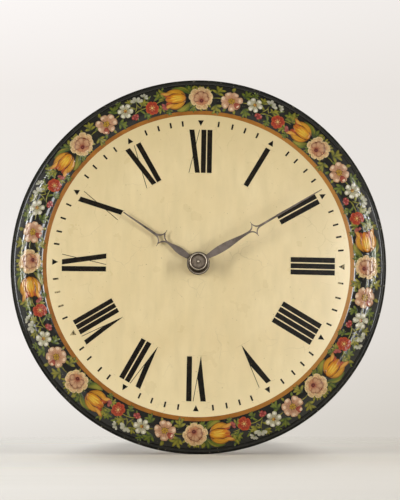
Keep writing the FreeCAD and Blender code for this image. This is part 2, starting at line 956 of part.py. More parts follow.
def make_click():
    """The click that drops into the ratchet, on a shouldered screw, and the spring behind it."""
    y0 = ratchet_front
    y1 = ratchet_back
    tip = click_place(ratchet_root_radius + motion_gap, click_nose_gap)
    nose_top = click_place(ratchet_root_radius + motion_gap + click_arm_width, click_nose_gap)
    knee_along = click_pivot_back / 2
    knee_out = ratchet_radius - click_knee_inset
    inner_knee = click_place(knee_out, knee_along)
    outer_knee = click_place(knee_out + click_knee_width, knee_along)
    inner_root = click_place(click_pivot_out - click_root_half_width, click_pivot_back)
    outer_root = click_place(click_pivot_out + click_root_half_width, click_pivot_back)
    corners = [tip, inner_knee, inner_root, outer_root, outer_knee, nose_top, tip]
    pivot = click_place(click_pivot_out, click_pivot_back)
    arm = thick(Part.makePolygon(corners), y0, y1)
    click = fused([arm, rod(pivot.x, pivot.z, click_boss_radius, y0, y1)])
    hole = rod(pivot.x, pivot.z, click_pivot_radius + running_gap, y0 - overrun, y1 + overrun)
    save("click", click.cut(hole))

    head_front = ratchet_back + motion_gap
    screw_profile = [
        (0, great_wheel_front),
        (click_pivot_radius, great_wheel_front),
        (click_pivot_radius, head_front),
        (click_screw_head_radius, head_front),
        (click_screw_head_radius, head_front + click_screw_head_height),
        (0, head_front + click_screw_head_height),
    ]
    save("click_screw", turned(pivot.x, pivot.z, screw_profile))

    press_along = click_pivot_back - click_spring_overlap
    press_out = click_pivot_out + click_root_half_width + click_spring_gap
    foot_out = press_out + click_spring_bend
    foot_along = press_along - click_spring_length
    spring_back = great_wheel_back + click_spring_thickness
    foot_centre = click_place(foot_out, foot_along)
    strip_corners = [
        click_place(press_out, press_along),
        click_place(press_out + click_spring_width, press_along),
        click_place(foot_out + click_spring_width / 2, foot_along),
        click_place(foot_out - click_spring_width / 2, foot_along),
        click_place(press_out, press_along),
    ]
    strip = thick(Part.makePolygon(strip_corners), great_wheel_back, spring_back)
    foot = rod(foot_centre.x, foot_centre.z, click_spring_foot_radius, great_wheel_back, spring_back)
    save("click_spring", fused([strip, foot]))


def plain_arbor(z, radius, pivot_radius, thin_radius, thin_from, thin_to):
    """An arbor between the strips, with a pivot at each end and a thinner stretch inside its pinion."""
    front_shoulder = front_strip_back + pivot_end_gap
    back_shoulder = back_strip_front - pivot_end_gap
    profile = [
        (0, front_strip_front + pivot_inset),
        (pivot_radius, front_strip_front + pivot_inset),
        (pivot_radius, front_shoulder),
        (radius, front_shoulder),
        (radius, thin_from),
        (thin_radius, thin_from),
        (thin_radius, thin_to),
        (radius, thin_to),
        (radius, back_shoulder),
        (pivot_radius, back_shoulder),
        (pivot_radius, back_strip_back - pivot_inset),
        (0, back_strip_back - pivot_inset),
    ]
    return turned(0, z, profile)


def make_second_wheel():
    """Second arbor: a lantern pinion in front, its wheel near the back strip."""
    pin_circle = lantern_pins * great_module / 2
    middle = (great_wheel_front + great_wheel_back) / 2
    y0 = middle - lantern_length / 2
    y1 = middle + lantern_length / 2
    gap_phase = -math.pi / 2 + math.pi / lantern_pins
    save("second_pinion", lantern(0, second_z, pin_circle, gap_phase, y0, y1, second_arbor_radius))
    thick_radius = second_arbor_radius + arbor_step
    arbor = plain_arbor(
        second_z, thick_radius, second_pivot_radius, second_arbor_radius, y0, second_wheel_back
    )
    save("second_arbor", arbor)

    pitch = math.pi * second_module
    outline = gear_outline(
        0,
        second_z,
        second_teeth,
        second_module,
        pitch * train_tooth_share,
        train_tip_width,
        second_module * train_addendum_share,
        second_module * train_dedendum_share,
        math.pi / 2,
    )
    wheel = thick(outline, second_wheel_front, second_wheel_back)
    rim_inside = second_teeth * second_module / 2 - second_module - wheel_rim_width
    wheel = wheel.cut(
        crossings(
            0,
            second_z,
            rim_inside,
            wheel_hub_radius,
            wheel_arm_width,
            wheel_arms,
            second_wheel_front,
            second_wheel_back,
        )
    )
    front = second_wheel_front - overrun
    back = second_wheel_back + overrun
    bore = rod(0, second_z, second_arbor_radius, front, back)
    save("second_wheel", wheel.cut(bore))


def make_escape_wheel():
    """Escape arbor: a lantern pinion driven by the second wheel, and the pointed escape wheel."""
    pin_circle = lantern_pins * second_module / 2
    middle = (second_wheel_front + second_wheel_back) / 2
    y0 = middle - lantern_length / 2
    y1 = middle + lantern_length / 2
    gap_phase = -math.pi / 2 + math.pi / lantern_pins
    save("escape_pinion", lantern(0, escape_z, pin_circle, gap_phase, y0, y1, escape_arbor_radius))
    thick_radius = escape_arbor_radius + arbor_step
    arbor = plain_arbor(
        escape_z, thick_radius, escape_pivot_radius, escape_arbor_radius, escape_wheel_front, y1
    )
    save("escape_arbor", arbor)

    root_radius = escape_radius - escape_root_depth
    outline = saw_outline(
        0,
        escape_z,
        escape_teeth,
        escape_radius,
        root_radius,
        escape_tooth_lean,
        escape_tip_share,
        math.pi / 2,
    )
    wheel = thick(outline, escape_wheel_front, escape_wheel_back)
    wheel = wheel.cut(
        crossings(
            0,
            escape_z,
            root_radius - escape_rim_width,
            escape_hub_radius,
            escape_arm_width,
            wheel_arms,
            escape_wheel_front,
            escape_wheel_back,
        )
    )
    front = escape_wheel_front - overrun
    back = escape_wheel_back + overrun
    bore = rod(0, escape_z, escape_arbor_radius, front, back)
    save("escape_wheel", wheel.cut(bore))


def make_anchor():
    """The bent-strip anchor, its arbor and the crutch that the pendulum rod hangs through."""
    middle = (escape_wheel_front + escape_wheel_back) / 2
    y0 = middle - anchor_width / 2
    y1 = middle + anchor_width / 2
    tip_radius = escape_radius + anchor_tip_clearance
    inner_radius = tip_radius + anchor_strip_rise - anchor_strip_thickness
    outer_radius = inner_radius + anchor_strip_thickness
    strip_half = math.radians(anchor_half_span + anchor_overhang)
    strip = sector(escape_z, inner_radius, outer_radius, strip_half, y0, y1)
    parts = [strip, rod(0, anchor_z, anchor_hub_radius, y0, y1)]
    pallet_half = anchor_pallet_width / 2 / tip_radius
    for side in (-1, 1):
        centre = math.pi / 2 - side * math.radians(anchor_half_span)
        corners = [
            polar(0, escape_z, tip_radius, centre - pallet_half),
            polar(0, escape_z, inner_radius + anchor_pallet_root, centre - pallet_half),
            polar(0, escape_z, inner_radius + anchor_pallet_root, centre + pallet_half),
            polar(0, escape_z, tip_radius, centre + pallet_half),
            polar(0, escape_z, tip_radius, centre - pallet_half),
        ]
        parts.append(thick(Part.makePolygon(corners), y0, y1))
    neck_low = escape_z + inner_radius + anchor_pallet_root
    parts.append(box(-anchor_neck_half_width, anchor_neck_half_width, y0, y1, neck_low, anchor_z))
    bore = rod(0, anchor_z, anchor_arbor_radius, y0 - overrun, y1 + overrun)
    anchor = fused(parts).cut(bore)
    save("anchor", anchor)

    crutch_back = back_strip_back + crutch_strip_gap + crutch_hub_length
    profile = [
        (0, front_strip_front + pivot_inset),
        (anchor_pivot_radius, front_strip_front + pivot_inset),
        (anchor_pivot_radius, front_strip_back + pivot_end_gap),
        (anchor_arbor_radius, front_strip_back + pivot_end_gap),
        (anchor_arbor_radius, back_strip_front - pivot_end_gap),
        (crutch_arbor_radius, back_strip_front - pivot_end_gap),
        (crutch_arbor_radius, crutch_back),
        (0, crutch_back),
    ]
    save("anchor_arbor", turned(0, anchor_z, profile))

    crutch_front = back_strip_back + crutch_strip_gap
    arm_back = crutch_front + crutch_thickness
    low = anchor_z - crutch_length
    hub = rod(0, anchor_z, crutch_hub_radius, crutch_front, crutch_back)
    arm = box(-crutch_half_width, crutch_half_width, crutch_front, arm_back, low, anchor_z)
    tine_in = pendulum_rod_radius + crutch_fork_gap
    tine_out = tine_in + crutch_thickness
    tine_back = pendulum_y + crutch_tine_reach
    fork = [hub, arm]
    bridge = box(-tine_out, tine_out, crutch_front, arm_back, low, low + crutch_fork_height)
    fork.append(bridge)
    for side in (-1, 1):
        tine = box(side * tine_in, side * tine_out, arm_back, tine_back, low, low + crutch_fork_height)
        fork.append(tine)
    front = crutch_front - overrun
    back = crutch_back + overrun
    save("crutch", fused(fork).cut(rod(0, anchor_z, crutch_arbor_radius, front, back)))


def sector(z, inner_radius, outer_radius, half_angle, y0, y1):
    """A ring cut to an arch, symmetric about the upright through its centre."""
    top = math.pi / 2
    outer_start = polar(0, z, outer_radius, top - half_angle)
    outer_top = polar(0, z, outer_radius, top)
    outer_end = polar(0, z, outer_radius, top + half_angle)
    inner_start = polar(0, z, inner_radius, top + half_angle)
    inner_top = polar(0, z, inner_radius, top)
    inner_end = polar(0, z, inner_radius, top - half_angle)
    edges = [
        arc(outer_start, outer_top, outer_end),
        line(outer_end, inner_start),
        arc(inner_start, inner_top, inner_end),
        line(inner_end, outer_start),
    ]
    return thick(Part.Wire(edges), y0, y1)


def cock_screw_shank():
    """The shank that holds the suspension bracket up to the top board."""
    flange_front = suspension_plate_back() - suspension_flange_length
    screw_y = flange_front + suspension_plate_half_width
    low = case_top - suspension_plate_thickness
    return upright(0, screw_y, cock_screw_radius, low, low + cock_screw_length)


def suspension_plate_back():
    eye_back = pendulum_y + pendulum_eye_thickness / 2
    plate_front = eye_back + suspension_pin_reach + 2 * pendulum_rod_radius
    return plate_front + suspension_plate_thickness


def make_pendulum():
    """Suspension bracket under the top board, wire rod with its eye, lens-shaped bob and rating nut."""
    eye_bore = suspension_pin_radius + running_gap
    eye_radius = eye_bore + 2 * pendulum_rod_radius
    eye_front = pendulum_y - pendulum_eye_thickness / 2
    eye_back = pendulum_y + pendulum_eye_thickness / 2
    pin_front = eye_front - suspension_pin_reach
    plate_back = suspension_plate_back()
    plate_front = plate_back - suspension_plate_thickness
    half = suspension_plate_half_width
    plate = box(-half, half, plate_front, plate_back, anchor_z - half, case_top)
    flange_front = plate_back - suspension_flange_length
    flange_low = case_top - suspension_plate_thickness
    flange = box(-half, half, flange_front, plate_back, flange_low, case_top)
    pin = rod(0, anchor_z, suspension_pin_radius, pin_front, plate_front)
    head_front = pin_front - suspension_pin_head_thickness
    head = rod(0, anchor_z, suspension_pin_head_radius, head_front, pin_front)
    cock = fused([plate, flange, pin, head])
    screw_y = flange_front + half
    shank = cock_screw_shank()
    head_low = flange_low - cock_screw_head_height
    screw_head = upright(0, screw_y, cock_screw_head_radius, head_low, flange_low)
    save("suspension_cock", cock.cut(shank))
    save("cock_screw", fused([shank, screw_head]))

    eye = rod(0, anchor_z, eye_radius, eye_front, eye_back)
    rod_low = bob_z - bob_radius - rod_end_length
    rod_top = anchor_z - eye_bore - pendulum_rod_radius
    stem = upright(0, pendulum_y, pendulum_rod_radius, rod_low, rod_top)
    bore = rod(0, anchor_z, eye_bore, eye_front - overrun, eye_back + overrun)
    save("pendulum_rod", fused([eye, stem]).cut(bore))

    bulge = bob_half_thickness - bob_edge_half_thickness
    face_radius = (bob_radius**2 + bulge**2) / (2 * bulge)
    front = pendulum_y - bob_half_thickness
    back = pendulum_y + bob_half_thickness
    front_face = Part.makeSphere(face_radius, FreeCAD.Vector(0, front + face_radius, bob_z))
    back_face = Part.makeSphere(face_radius, FreeCAD.Vector(0, back - face_radius, bob_z))
    blank = rod(0, bob_z, bob_radius, front - overrun, back + overrun)
    bob = blank.common(front_face).common(back_face)
    reach = bob_radius + overrun
    hole = upright(0, pendulum_y, pendulum_rod_radius, bob_z - reach, bob_z + reach)
    save("pendulum_bob", bob.cut(hole))

    nut_top = bob_z - bob_radius - motion_gap
    nut_low = nut_top - rating_nut_height
    nut = upright(0, pendulum_y, rating_nut_radius, nut_low, nut_top)
    for index in range(rating_nut_knurls):
        angle = index * 2 * math.pi / rating_nut_knurls
        x = rating_nut_radius * math.cos(angle)
        y = pendulum_y + rating_nut_radius * math.sin(angle)
        nut = nut.cut(upright(x, y, rating_nut_knurl_radius, nut_low - overrun, nut_top + overrun))
    nut_bore = pendulum_rod_radius + running_gap
    nut = nut.cut(upright(0, pendulum_y, nut_bore, nut_low - overrun, nut_top + overrun))
    save("rating_nut", nut)


def motion_gear(x, z, teeth, module, pinion, phase, y0, y1, bore):
    """A wheel or pinion of the motion work, bored for what it sits on."""
    relief = motion_pinion_relief if pinion else 0.0
    addendum_share = motion_pinion_addendum_share if pinion else motion_addendum_share
    outline = gear_outline(
        x,
        z,
        teeth,
        module,
        math.pi * module / 2 - motion_backlash - relief,
        motion_tip_width,
        module * addendum_share,
        module,
        phase,
    )
    return thick(outline, y0, y1).cut(rod(x, z, bore, y0 - overrun, y1 + overrun))


def make_motion_work():
    """Drive wheel with its friction spring, cannon wheel and pinion, minute wheel, hour wheel."""
    drive_bore = drive_arbor_radius + running_gap
    up = math.pi / 2
    drive = motion_gear(
        0,
        great_z,
        drive_teeth,
        drive_module,
        False,
        up,
        drive_wheel_front,
        drive_wheel_back,
        drive_bore,
    )
    save("drive_wheel", drive)

    spring_back = drive_wheel_front - motion_gap
    spring_front = spring_back - drive_spring_rise
    spring_profile = [
        (drive_arbor_radius, spring_front - drive_spring_thickness),
        (drive_arbor_radius, spring_front),
        (drive_spring_radius, spring_back),
        (drive_spring_radius, spring_back - drive_spring_thickness),
    ]
    save("drive_spring", turned(0, great_z, spring_profile))

    cannon = motion_gear(
        0,
        0,
        cannon_teeth,
        drive_module,
        False,
        -up + math.pi / cannon_teeth,
        drive_wheel_front,
        drive_wheel_back,
        minute_arbor_radius,
    )
    save("cannon_wheel", cannon)

    toward = math.radians(minute_wheel_angle)
    pinion = motion_gear(
        0,
        0,
        cannon_pinion_teeth,
        minute_module,
        True,
        toward,
        minute_wheel_front,
        drive_wheel_front,
        minute_arbor_radius,
    )
    save("cannon_pinion", pinion)

    minute_wheel = motion_gear(
        minute_wheel_x,
        minute_wheel_z,
        minute_wheel_teeth,
        minute_module,
        False,
        toward + math.pi + math.pi / minute_wheel_teeth,
        minute_wheel_front,
        minute_wheel_back,
        motion_hub_radius,
    )
    save("minute_wheel", minute_wheel)

    stud_bore = minute_stud_radius + running_gap
    minute_pinion = motion_gear(
        minute_wheel_x,
        minute_wheel_z,
        minute_pinion_teeth,
        hour_module,
        True,
        toward + math.pi,
        minute_pinion_front,
        minute_wheel_front,
        stud_bore,
    )
    hub_back = minute_wheel_back + minute_hub_length
    hub = rod(minute_wheel_x, minute_wheel_z, motion_hub_radius, minute_wheel_front, hub_back)
    bore_front = minute_pinion_front - overrun
    hub_bore = rod(minute_wheel_x, minute_wheel_z, stud_bore, bore_front, hub_back + overrun)
    save("minute_wheel_pinion", fused([minute_pinion, hub.cut(hub_bore)]))
    save("minute_wheel_stud", minute_stud())

    hour_wheel = motion_gear(
        0,
        0,
        hour_wheel_teeth,
        hour_module,
        False,
        toward + math.pi / hour_wheel_teeth,
        hour_wheel_front,
        hour_wheel_back,
        hour_pipe_radius,
    )
    save("hour_wheel", hour_wheel)


def hand_outline(shape, angle):
    """A hand's outer outline and its star-shaped window, as wires along the given clock angle."""
    turn = math.radians(90 - angle)
    along = FreeCAD.Vector(math.cos(turn), 0, math.sin(turn))
    across = FreeCAD.Vector(-math.sin(turn), 0, math.cos(turn))

    def at(distance, width):
        return along * distance + across * width

    root_at = shape["hub"] * hand_root_share
    neck_at = shape["star_at"] - shape["star_half_length"]
    needle_at = shape["star_at"] + shape["star_half_length"]
    diagonal = shape["waist"] / math.sqrt(2)

    def blade_side(side):
        """Half width rising as a sine to the widest place, then falling as a squared cosine."""
        points = []
        for step in range(blade_rise_points + 1):
            share = step / blade_rise_points
            distance = root_at + share * (shape["blade_at"] - root_at)
            width = shape["root"] + (shape["blade"] - shape["root"]) * math.sin(share * math.pi / 2)
            points.append(at(distance, side * width))
        for step in range(1, blade_fall_points + 1):
            share = step / blade_fall_points
            distance = shape["blade_at"] + share * (neck_at - shape["blade_at"])
            fall = math.cos(share * math.pi / 2) ** 2
            width = shape["neck"] + (shape["blade"] - shape["neck"]) * fall
            points.append(at(distance, side * width))
        curve = Part.BSplineCurve()
        curve.interpolate(points)
        return curve.toShape()

    def star_side(side):
        near_spur = at(shape["star_at"] - shape["spur_tip"], side * shape["spur"])
        far_spur = at(shape["star_at"] + shape["spur_tip"], side * shape["spur"])
        near = at(shape["star_at"] - diagonal, side * diagonal)
        far = at(shape["star_at"] + diagonal, side * diagonal)
        return [
            arc(at(neck_at, side * shape["neck"]), near, near_spur),
            line(near_spur, far_spur),
            arc(far_spur, far, at(needle_at, side * shape["needle"])),
        ]

    edges = [blade_side(1)]
    edges += star_side(1)
    edges.append(line(at(needle_at, shape["needle"]), at(shape["length"], shape["tip"])))
    edges.append(line(at(shape["length"], shape["tip"]), at(shape["length"], -shape["tip"])))
    edges.append(line(at(shape["length"], -shape["tip"]), at(needle_at, -shape["needle"])))
    edges += star_side(-1)
    edges.append(blade_side(-1))
    edges.append(line(at(root_at, -shape["root"]), at(root_at, shape["root"])))
    outline = Part.Wire(Part.__sortEdges__(edges))

    window_half = shape["star_half_length"] - window_corner_share * shape["bar"]
    window_waist = shape["waist"] - shape["bar"]
    corners = []
    middles = []
    for quarter in range(4):
        corner = quarter * math.pi / 2
        middle = corner + math.pi / 4
        u = window_half * math.cos(corner)
        v = window_half * math.sin(corner)
        corners.append(at(shape["star_at"] + u, v))
        u = window_waist * math.cos(middle)
        v = window_waist * math.sin(middle)
        middles.append(at(shape["star_at"] + u, v))
    window_edges = []
    for index in range(4):
        window_edges.append(arc(corners[index], middles[index], corners[(index + 1) % 4]))
    return outline, Part.Wire(window_edges)


def hand(shape, angle, hub_bore, y0, y1):
    """A flat hand: hub ring, blade, open star and needle."""
    outline, window = hand_outline(shape, angle)
    blade = thick(outline, y0, y1).cut(thick(window, y0 - overrun, y1 + overrun))
    whole = fused([blade, rod(0, 0, shape["hub"], y0, y1)])
    return whole.cut(rod(0, 0, hub_bore, y0 - overrun, y1 + overrun))


def make_hands():
    """Arbor, pipe, boss, collet and the two hands, set at ten past ten."""
    collar_front = front_strip_back + motion_gap
    tip_base = collet_front + collet_dish_depth
    tip_front = tip_base - arbor_tip_height
    arbor_profile = [
        (0, collar_front + minute_arbor_collar_length),
        (minute_arbor_collar_radius, collar_front + minute_arbor_collar_length),
        (minute_arbor_collar_radius, collar_front),
        (minute_arbor_radius, collar_front),
        (minute_arbor_radius, collet_back),
        (arbor_tip_radius, collet_back),
        (arbor_tip_radius, tip_base),
        (0, tip_front),
    ]
    save("minute_arbor", turned(0, 0, arbor_profile))

    pipe_back = hour_wheel_back + motion_gap
    pipe = rod(0, 0, hour_pipe_radius, hour_boss_front, pipe_back)
    pipe = pipe.cut(rod(0, 0, hour_pipe_bore, hour_boss_front - overrun, pipe_back + overrun))
    save("hour_pipe", pipe)

    step_front = hour_boss_front + hour_boss_step_height
    boss_profile = [
        (hour_pipe_radius, hour_hand_front),
        (hour_boss_radius, hour_hand_front),
        (hour_boss_radius, step_front + edge_bevel),
        (hour_boss_radius - edge_bevel, step_front),
        (hour_boss_step_radius, step_front),
        (hour_boss_step_radius - hour_boss_step_height, hour_boss_front),
        (hour_pipe_radius, hour_boss_front),
    ]
    save("hour_boss", turned(0, 0, boss_profile))
    hour_hand = hand(
        hour_hand_shape, hour_hand_angle, hour_pipe_radius, hour_hand_front, hour_hand_back
    )
    save("hour_hand", hour_hand)

    dish_radius = collet_radius - collet_rim_width
    collet_profile = [
        (arbor_tip_radius, collet_back),
        (collet_shoulder_radius, collet_back),
        (collet_shoulder_radius, minute_hand_back),
        (collet_neck_radius, minute_hand_back),
        (collet_neck_radius, minute_hand_front),
        (collet_radius, minute_hand_front),
        (collet_radius, collet_front + edge_bevel),
        (collet_radius - edge_bevel, collet_front),
        (dish_radius, collet_front),
        (dish_radius - collet_dish_slope, tip_base),
        (arbor_tip_radius, tip_base),
    ]
    save("minute_collet", turned(0, 0, collet_profile))
    minute_hand = hand(
        minute_hand_shape, minute_hand_angle, collet_neck_radius, minute_hand_front, minute_hand_back
    )
    save("minute_hand", minute_hand)


def main():
    os.makedirs("parts", exist_ok=True)
    make_shield()
    pegs = make_battens()
    make_case(pegs)
    make_hanger()
    make_doors()
    make_strips()
    make_great_wheel()
    make_sprocket()
    make_click()
    make_second_wheel()
    make_escape_wheel()
    make_anchor()
    make_pendulum()
    make_motion_work()
    make_hands()


main()
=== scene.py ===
import json
import math

import bmesh
import bpy
import numpy as np
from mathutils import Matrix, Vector

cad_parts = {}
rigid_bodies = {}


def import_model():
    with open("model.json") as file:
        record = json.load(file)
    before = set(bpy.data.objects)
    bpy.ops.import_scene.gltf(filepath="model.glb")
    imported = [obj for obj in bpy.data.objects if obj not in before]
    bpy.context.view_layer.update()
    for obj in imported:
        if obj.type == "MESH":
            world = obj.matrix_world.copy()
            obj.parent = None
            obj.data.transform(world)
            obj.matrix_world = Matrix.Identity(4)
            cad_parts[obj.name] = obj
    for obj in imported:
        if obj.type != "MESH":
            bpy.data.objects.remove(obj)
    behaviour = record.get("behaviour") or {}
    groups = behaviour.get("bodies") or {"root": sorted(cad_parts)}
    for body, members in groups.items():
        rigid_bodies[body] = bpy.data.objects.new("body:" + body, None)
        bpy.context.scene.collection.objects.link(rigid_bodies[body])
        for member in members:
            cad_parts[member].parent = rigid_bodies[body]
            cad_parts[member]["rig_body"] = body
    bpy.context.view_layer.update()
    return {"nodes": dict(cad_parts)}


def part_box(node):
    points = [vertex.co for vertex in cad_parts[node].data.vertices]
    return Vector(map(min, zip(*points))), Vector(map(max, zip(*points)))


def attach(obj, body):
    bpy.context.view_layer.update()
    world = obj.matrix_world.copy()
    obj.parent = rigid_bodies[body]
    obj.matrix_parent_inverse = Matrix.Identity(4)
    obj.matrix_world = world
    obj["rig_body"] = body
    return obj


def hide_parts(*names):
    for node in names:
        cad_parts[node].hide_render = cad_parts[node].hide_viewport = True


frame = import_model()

bl_info = {
    "name": "Painted shield clock",
    "version": (1, 0, 0),
    "blender": (4, 5, 0),
    "location": "3D View > Sidebar > Clock",
    "description": "Lacquered shield, painted garland, hands and finishes of a wall clock",
    "category": "Add Mesh",
}

# Every size is in millimetres and becomes metres when a mesh is made.
MM = 0.001
rng = np.random.default_rng(12)

# Places that the frame gives: the hand axis, the shield's back and its lowest point
arbor_low, arbor_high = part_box("minute_arbor")
shield_low, shield_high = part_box("shield")
AXIS_Z = (arbor_low.z + arbor_high.z) / 2 / MM
SHIELD_BACK = shield_high.y / MM
SHIELD_RADIUS = (shield_high.z - shield_low.z) / 2 / MM
DOME_THICKNESS = (shield_high.y - shield_low.y) / MM
FLOOR_Z = AXIS_Z - SHIELD_RADIUS

# The shield's section: radius and thickness, as the board was turned
HOLE_RADIUS = 5.4
CREAM_RADIUS = 120.8
OCHRE_WIDTH = 3.3
DIAL_EDGE_THICKNESS = 11.0
BORDER_FOOT_THICKNESS = 10.6
BORDER_THICKNESS = 12.6
GROOVE_WIDTH = 4.0
GROOVE_THICKNESS = 7.4
BEAD_THICKNESS = 8.0
SIDE_THICKNESS = 6.0
BACK_CHAMFER = 2.5
BORDER_RADIUS = CREAM_RADIUS + OCHRE_WIDTH
GROOVE_RADIUS = SHIELD_RADIUS - GROOVE_WIDTH

# The garland's middle line
GARLAND_RADIUS = 134.0


def linear(colour):
    """An sRGB hex colour as linear red, green, blue."""
    parts = [int(colour[i : i + 2], 16) / 255 for i in (1, 3, 5)]
    return [p / 12.92 if p <= 0.04045 else ((p + 0.055) / 1.055) ** 2.4 for p in parts]


def rgba(colour):
    """A hex colour, or linear red, green and blue, as the four numbers that a socket takes."""
    return (*(linear(colour) if isinstance(colour, str) else colour), 1.0)


def arc_thickness(start, middle, end, radii):
    """Thickness on the circle through three (radius, thickness) points, at the given radii."""
    (x1, y1), (x2, y2), (x3, y3) = start, middle, end
    d = 2 * (x1 * (y2 - y3) + x2 * (y3 - y1) + x3 * (y1 - y2))
    s1, s2, s3 = x1**2 + y1**2, x2**2 + y2**2, x3**2 + y3**2
    cx = (s1 * (y2 - y3) + s2 * (y3 - y1) + s3 * (y1 - y2)) / d
    cy = (s1 * (x3 - x2) + s2 * (x1 - x3) + s3 * (x2 - x1)) / d
    size = math.hypot(x1 - cx, y1 - cy)
    return cy + np.sqrt(np.maximum(size**2 - (radii - cx) ** 2, 0))


def front_profile():
    """Radius and thickness along the front: dome, ochre step, arched border, groove and bead."""
    dome = np.linspace(HOLE_RADIUS, CREAM_RADIUS, 40)
    middle_thickness = DIAL_EDGE_THICKNESS + 0.75 * (DOME_THICKNESS - DIAL_EDGE_THICKNESS)
    dome_start = (0, DOME_THICKNESS)
    dome_middle = (CREAM_RADIUS / 2, middle_thickness)
    dome_end = (CREAM_RADIUS, DIAL_EDGE_THICKNESS)
    ochre = np.linspace(CREAM_RADIUS, BORDER_RADIUS, 4)[1:]
    border = np.linspace(BORDER_RADIUS, GROOVE_RADIUS, 22)[1:]
    border_middle = ((BORDER_RADIUS + GROOVE_RADIUS) / 2, BORDER_THICKNESS)
    bead = GROOVE_RADIUS + GROOVE_WIDTH * (1 - np.cos(np.linspace(0, math.pi / 2, 10)[1:]))
    bead_top = (GROOVE_RADIUS + 0.45 * GROOVE_WIDTH, BEAD_THICKNESS)
    border_start = (BORDER_RADIUS, BORDER_FOOT_THICKNESS)
    groove = (GROOVE_RADIUS, GROOVE_THICKNESS)
    side = (SHIELD_RADIUS, SIDE_THICKNESS)
    share = (ochre - CREAM_RADIUS) / OCHRE_WIDTH
    step = DIAL_EDGE_THICKNESS + share * (BORDER_FOOT_THICKNESS - DIAL_EDGE_THICKNESS)
    radius = np.concatenate([dome, ochre, border, bead])
    thickness = np.concatenate(
        [
            arc_thickness(dome_start, dome_middle, dome_end, dome),
            step,
            arc_thickness(border_start, border_middle, groove, border),
            arc_thickness(groove, bead_top, side, bead),
        ]
    )
    return radius, thickness


FRONT = front_profile()


def on_shield(x, z, height):
    """Points at x, z from the hand axis, raised by height from the shield's painted front."""
    thickness = np.interp(np.hypot(x, z), *FRONT)
    y = SHIELD_BACK - thickness - height
    return np.stack([x, y, z + AXIS_Z], axis=-1)


def mesh_piece(name, points, faces, body, replaced=(), smooth=True):
    """A closed mesh from points in millimetres and faces as index rows. Faces are turned round if
    the volume they enclose, the sum of each triangle's corner products, comes out negative."""
    points = np.asarray(points, float).reshape(-1, 3)
    faces = [np.asarray(rows) for rows in faces]
    volume = 0.0
    middle = points.mean(axis=0)
    for rows in faces:
        first = points[rows[:, 0]] - middle
        for k in range(1, rows.shape[1] - 1):
            second = points[rows[:, k]] - middle
            third = points[rows[:, k + 1]] - middle
            volume += np.einsum("ij,ij->", first, np.cross(second, third))
    if volume < 0:
        faces = [rows[:, ::-1] for rows in faces]
    mesh = bpy.data.meshes.new(name)
    rows = [row for block in faces for row in block.tolist()]
    mesh.from_pydata((points * MM).tolist(), [], rows)
    mesh.polygons.foreach_set("use_smooth", np.full(len(mesh.polygons), smooth))
    mesh.update()
    piece = bpy.data.objects.new(name, mesh)
    bpy.context.scene.collection.objects.link(piece)
    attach(piece, body)
    if replaced:
        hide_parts(*replaced)
    return piece


def grid_faces(rows, columns, close_rows=False, close_columns=True, start=0):
    """Quads between neighbouring rows and columns of a grid that is numbered row by row."""
    i = np.arange(rows if close_rows else rows - 1)
    j = np.arange(columns if close_columns else columns - 1)
    i, j = np.meshgrid(i, j, indexing="ij")
    next_i = (i + 1) % rows
    next_j = (j + 1) % columns
    corners = (i * columns + j, i * columns + next_j, next_i * columns + next_j, next_i * columns + j)
    return start + np.stack([c.ravel() for c in corners], axis=-1)


def turned_ring(radius, y, segments):
    """A closed section (radius, y) carried once round the hand axis: x = r sin a, z = r cos a."""
    angle = np.arange(segments) * 2 * math.pi / segments
    x = radius[:, None] * np.sin(angle)
    z = AXIS_Z + radius[:, None] * np.cos(angle)
    points = np.stack([x, np.broadcast_to(y[:, None], x.shape), z], axis=-1)
    return points, grid_faces(len(radius), segments, close_rows=True)


def add(tree, kind, values=(), output=0):
    """Add a shader node and return one of its outputs. Each value is a property, the stops of a
    ramp, a socket's constant or hex colour, or another node's output, which is linked."""
    node = tree.nodes.new("ShaderNode" + kind)
    for key, value in dict(values).items():
        if isinstance(value, bpy.types.NodeSocket):
            tree.links.new(value, node.inputs[key])
        elif key == "stops":
            ramp = node.color_ramp.elements
            while len(ramp) < len(value):
                ramp.new(1.0)
            for element, (position, colour) in zip(ramp, value):
                element.position = position
                element.color = rgba(colour)
        elif isinstance(key, int) or key in node.inputs:
            hex_colour = isinstance(value, str) and value.startswith("#")
            node.inputs[key].default_value = rgba(value) if hex_colour else value
        else:
            setattr(node, key, value)
    return node.outputs[output] if node.outputs else None


def new_material(name, look, *details):
    """A material with one Principled shader. look(tree, place, *details) works out the shader's
    values, where place is the Object coordinates, and its relief: a depth in millimetres and a
    height from 0 to 1."""
    made = bpy.data.materials.new(name)
    made.use_nodes = True
    tree = made.node_tree
    tree.nodes.clear()
    values = look(tree, add(tree, "TexCoord", (), "Object"), *details)
    if "relief" in values:
        depth, height = values.pop("relief")
        relief = {"Distance": depth * MM, "Strength": 1.0, "Height": height}
        values["Normal"] = add(tree, "Bump", relief)
    add(tree, "OutputMaterial", {"Surface": add(tree, "BsdfPrincipled", values)})
    return made


def patches(tree, place, size_mm, detail, low=0.0, high=1.0, to=(0.0, 1.0), roughness=0.5):
    """Blotches about size_mm across: noise stretched so that low and high become the two numbers
    in to, and held between them."""
    pattern = {"Vector": place, "Scale": 1 / (size_mm * MM), "Detail": detail, "Roughness": roughness}
    value = add(tree, "TexNoise", pattern)
    limits = {"From Min": low, "From Max": high, "To Min": to[0], "To Max": to[1]}
    return add(tree, "MapRange", {"Value": value, **limits})


def layer(tree, below, above, *shares, blend="MIX"):
    """One coat of colour over another, by the product of the shares."""
    share, *others = shares
    for other in others:
        share = add(tree, "Math", {"operation": "MULTIPLY", 0: share, 1: other})
    coats = {"data_type": "RGBA", "blend_type": blend, 0: share, 6: below, 7: above}
    return add(tree, "Mix", coats, 2)


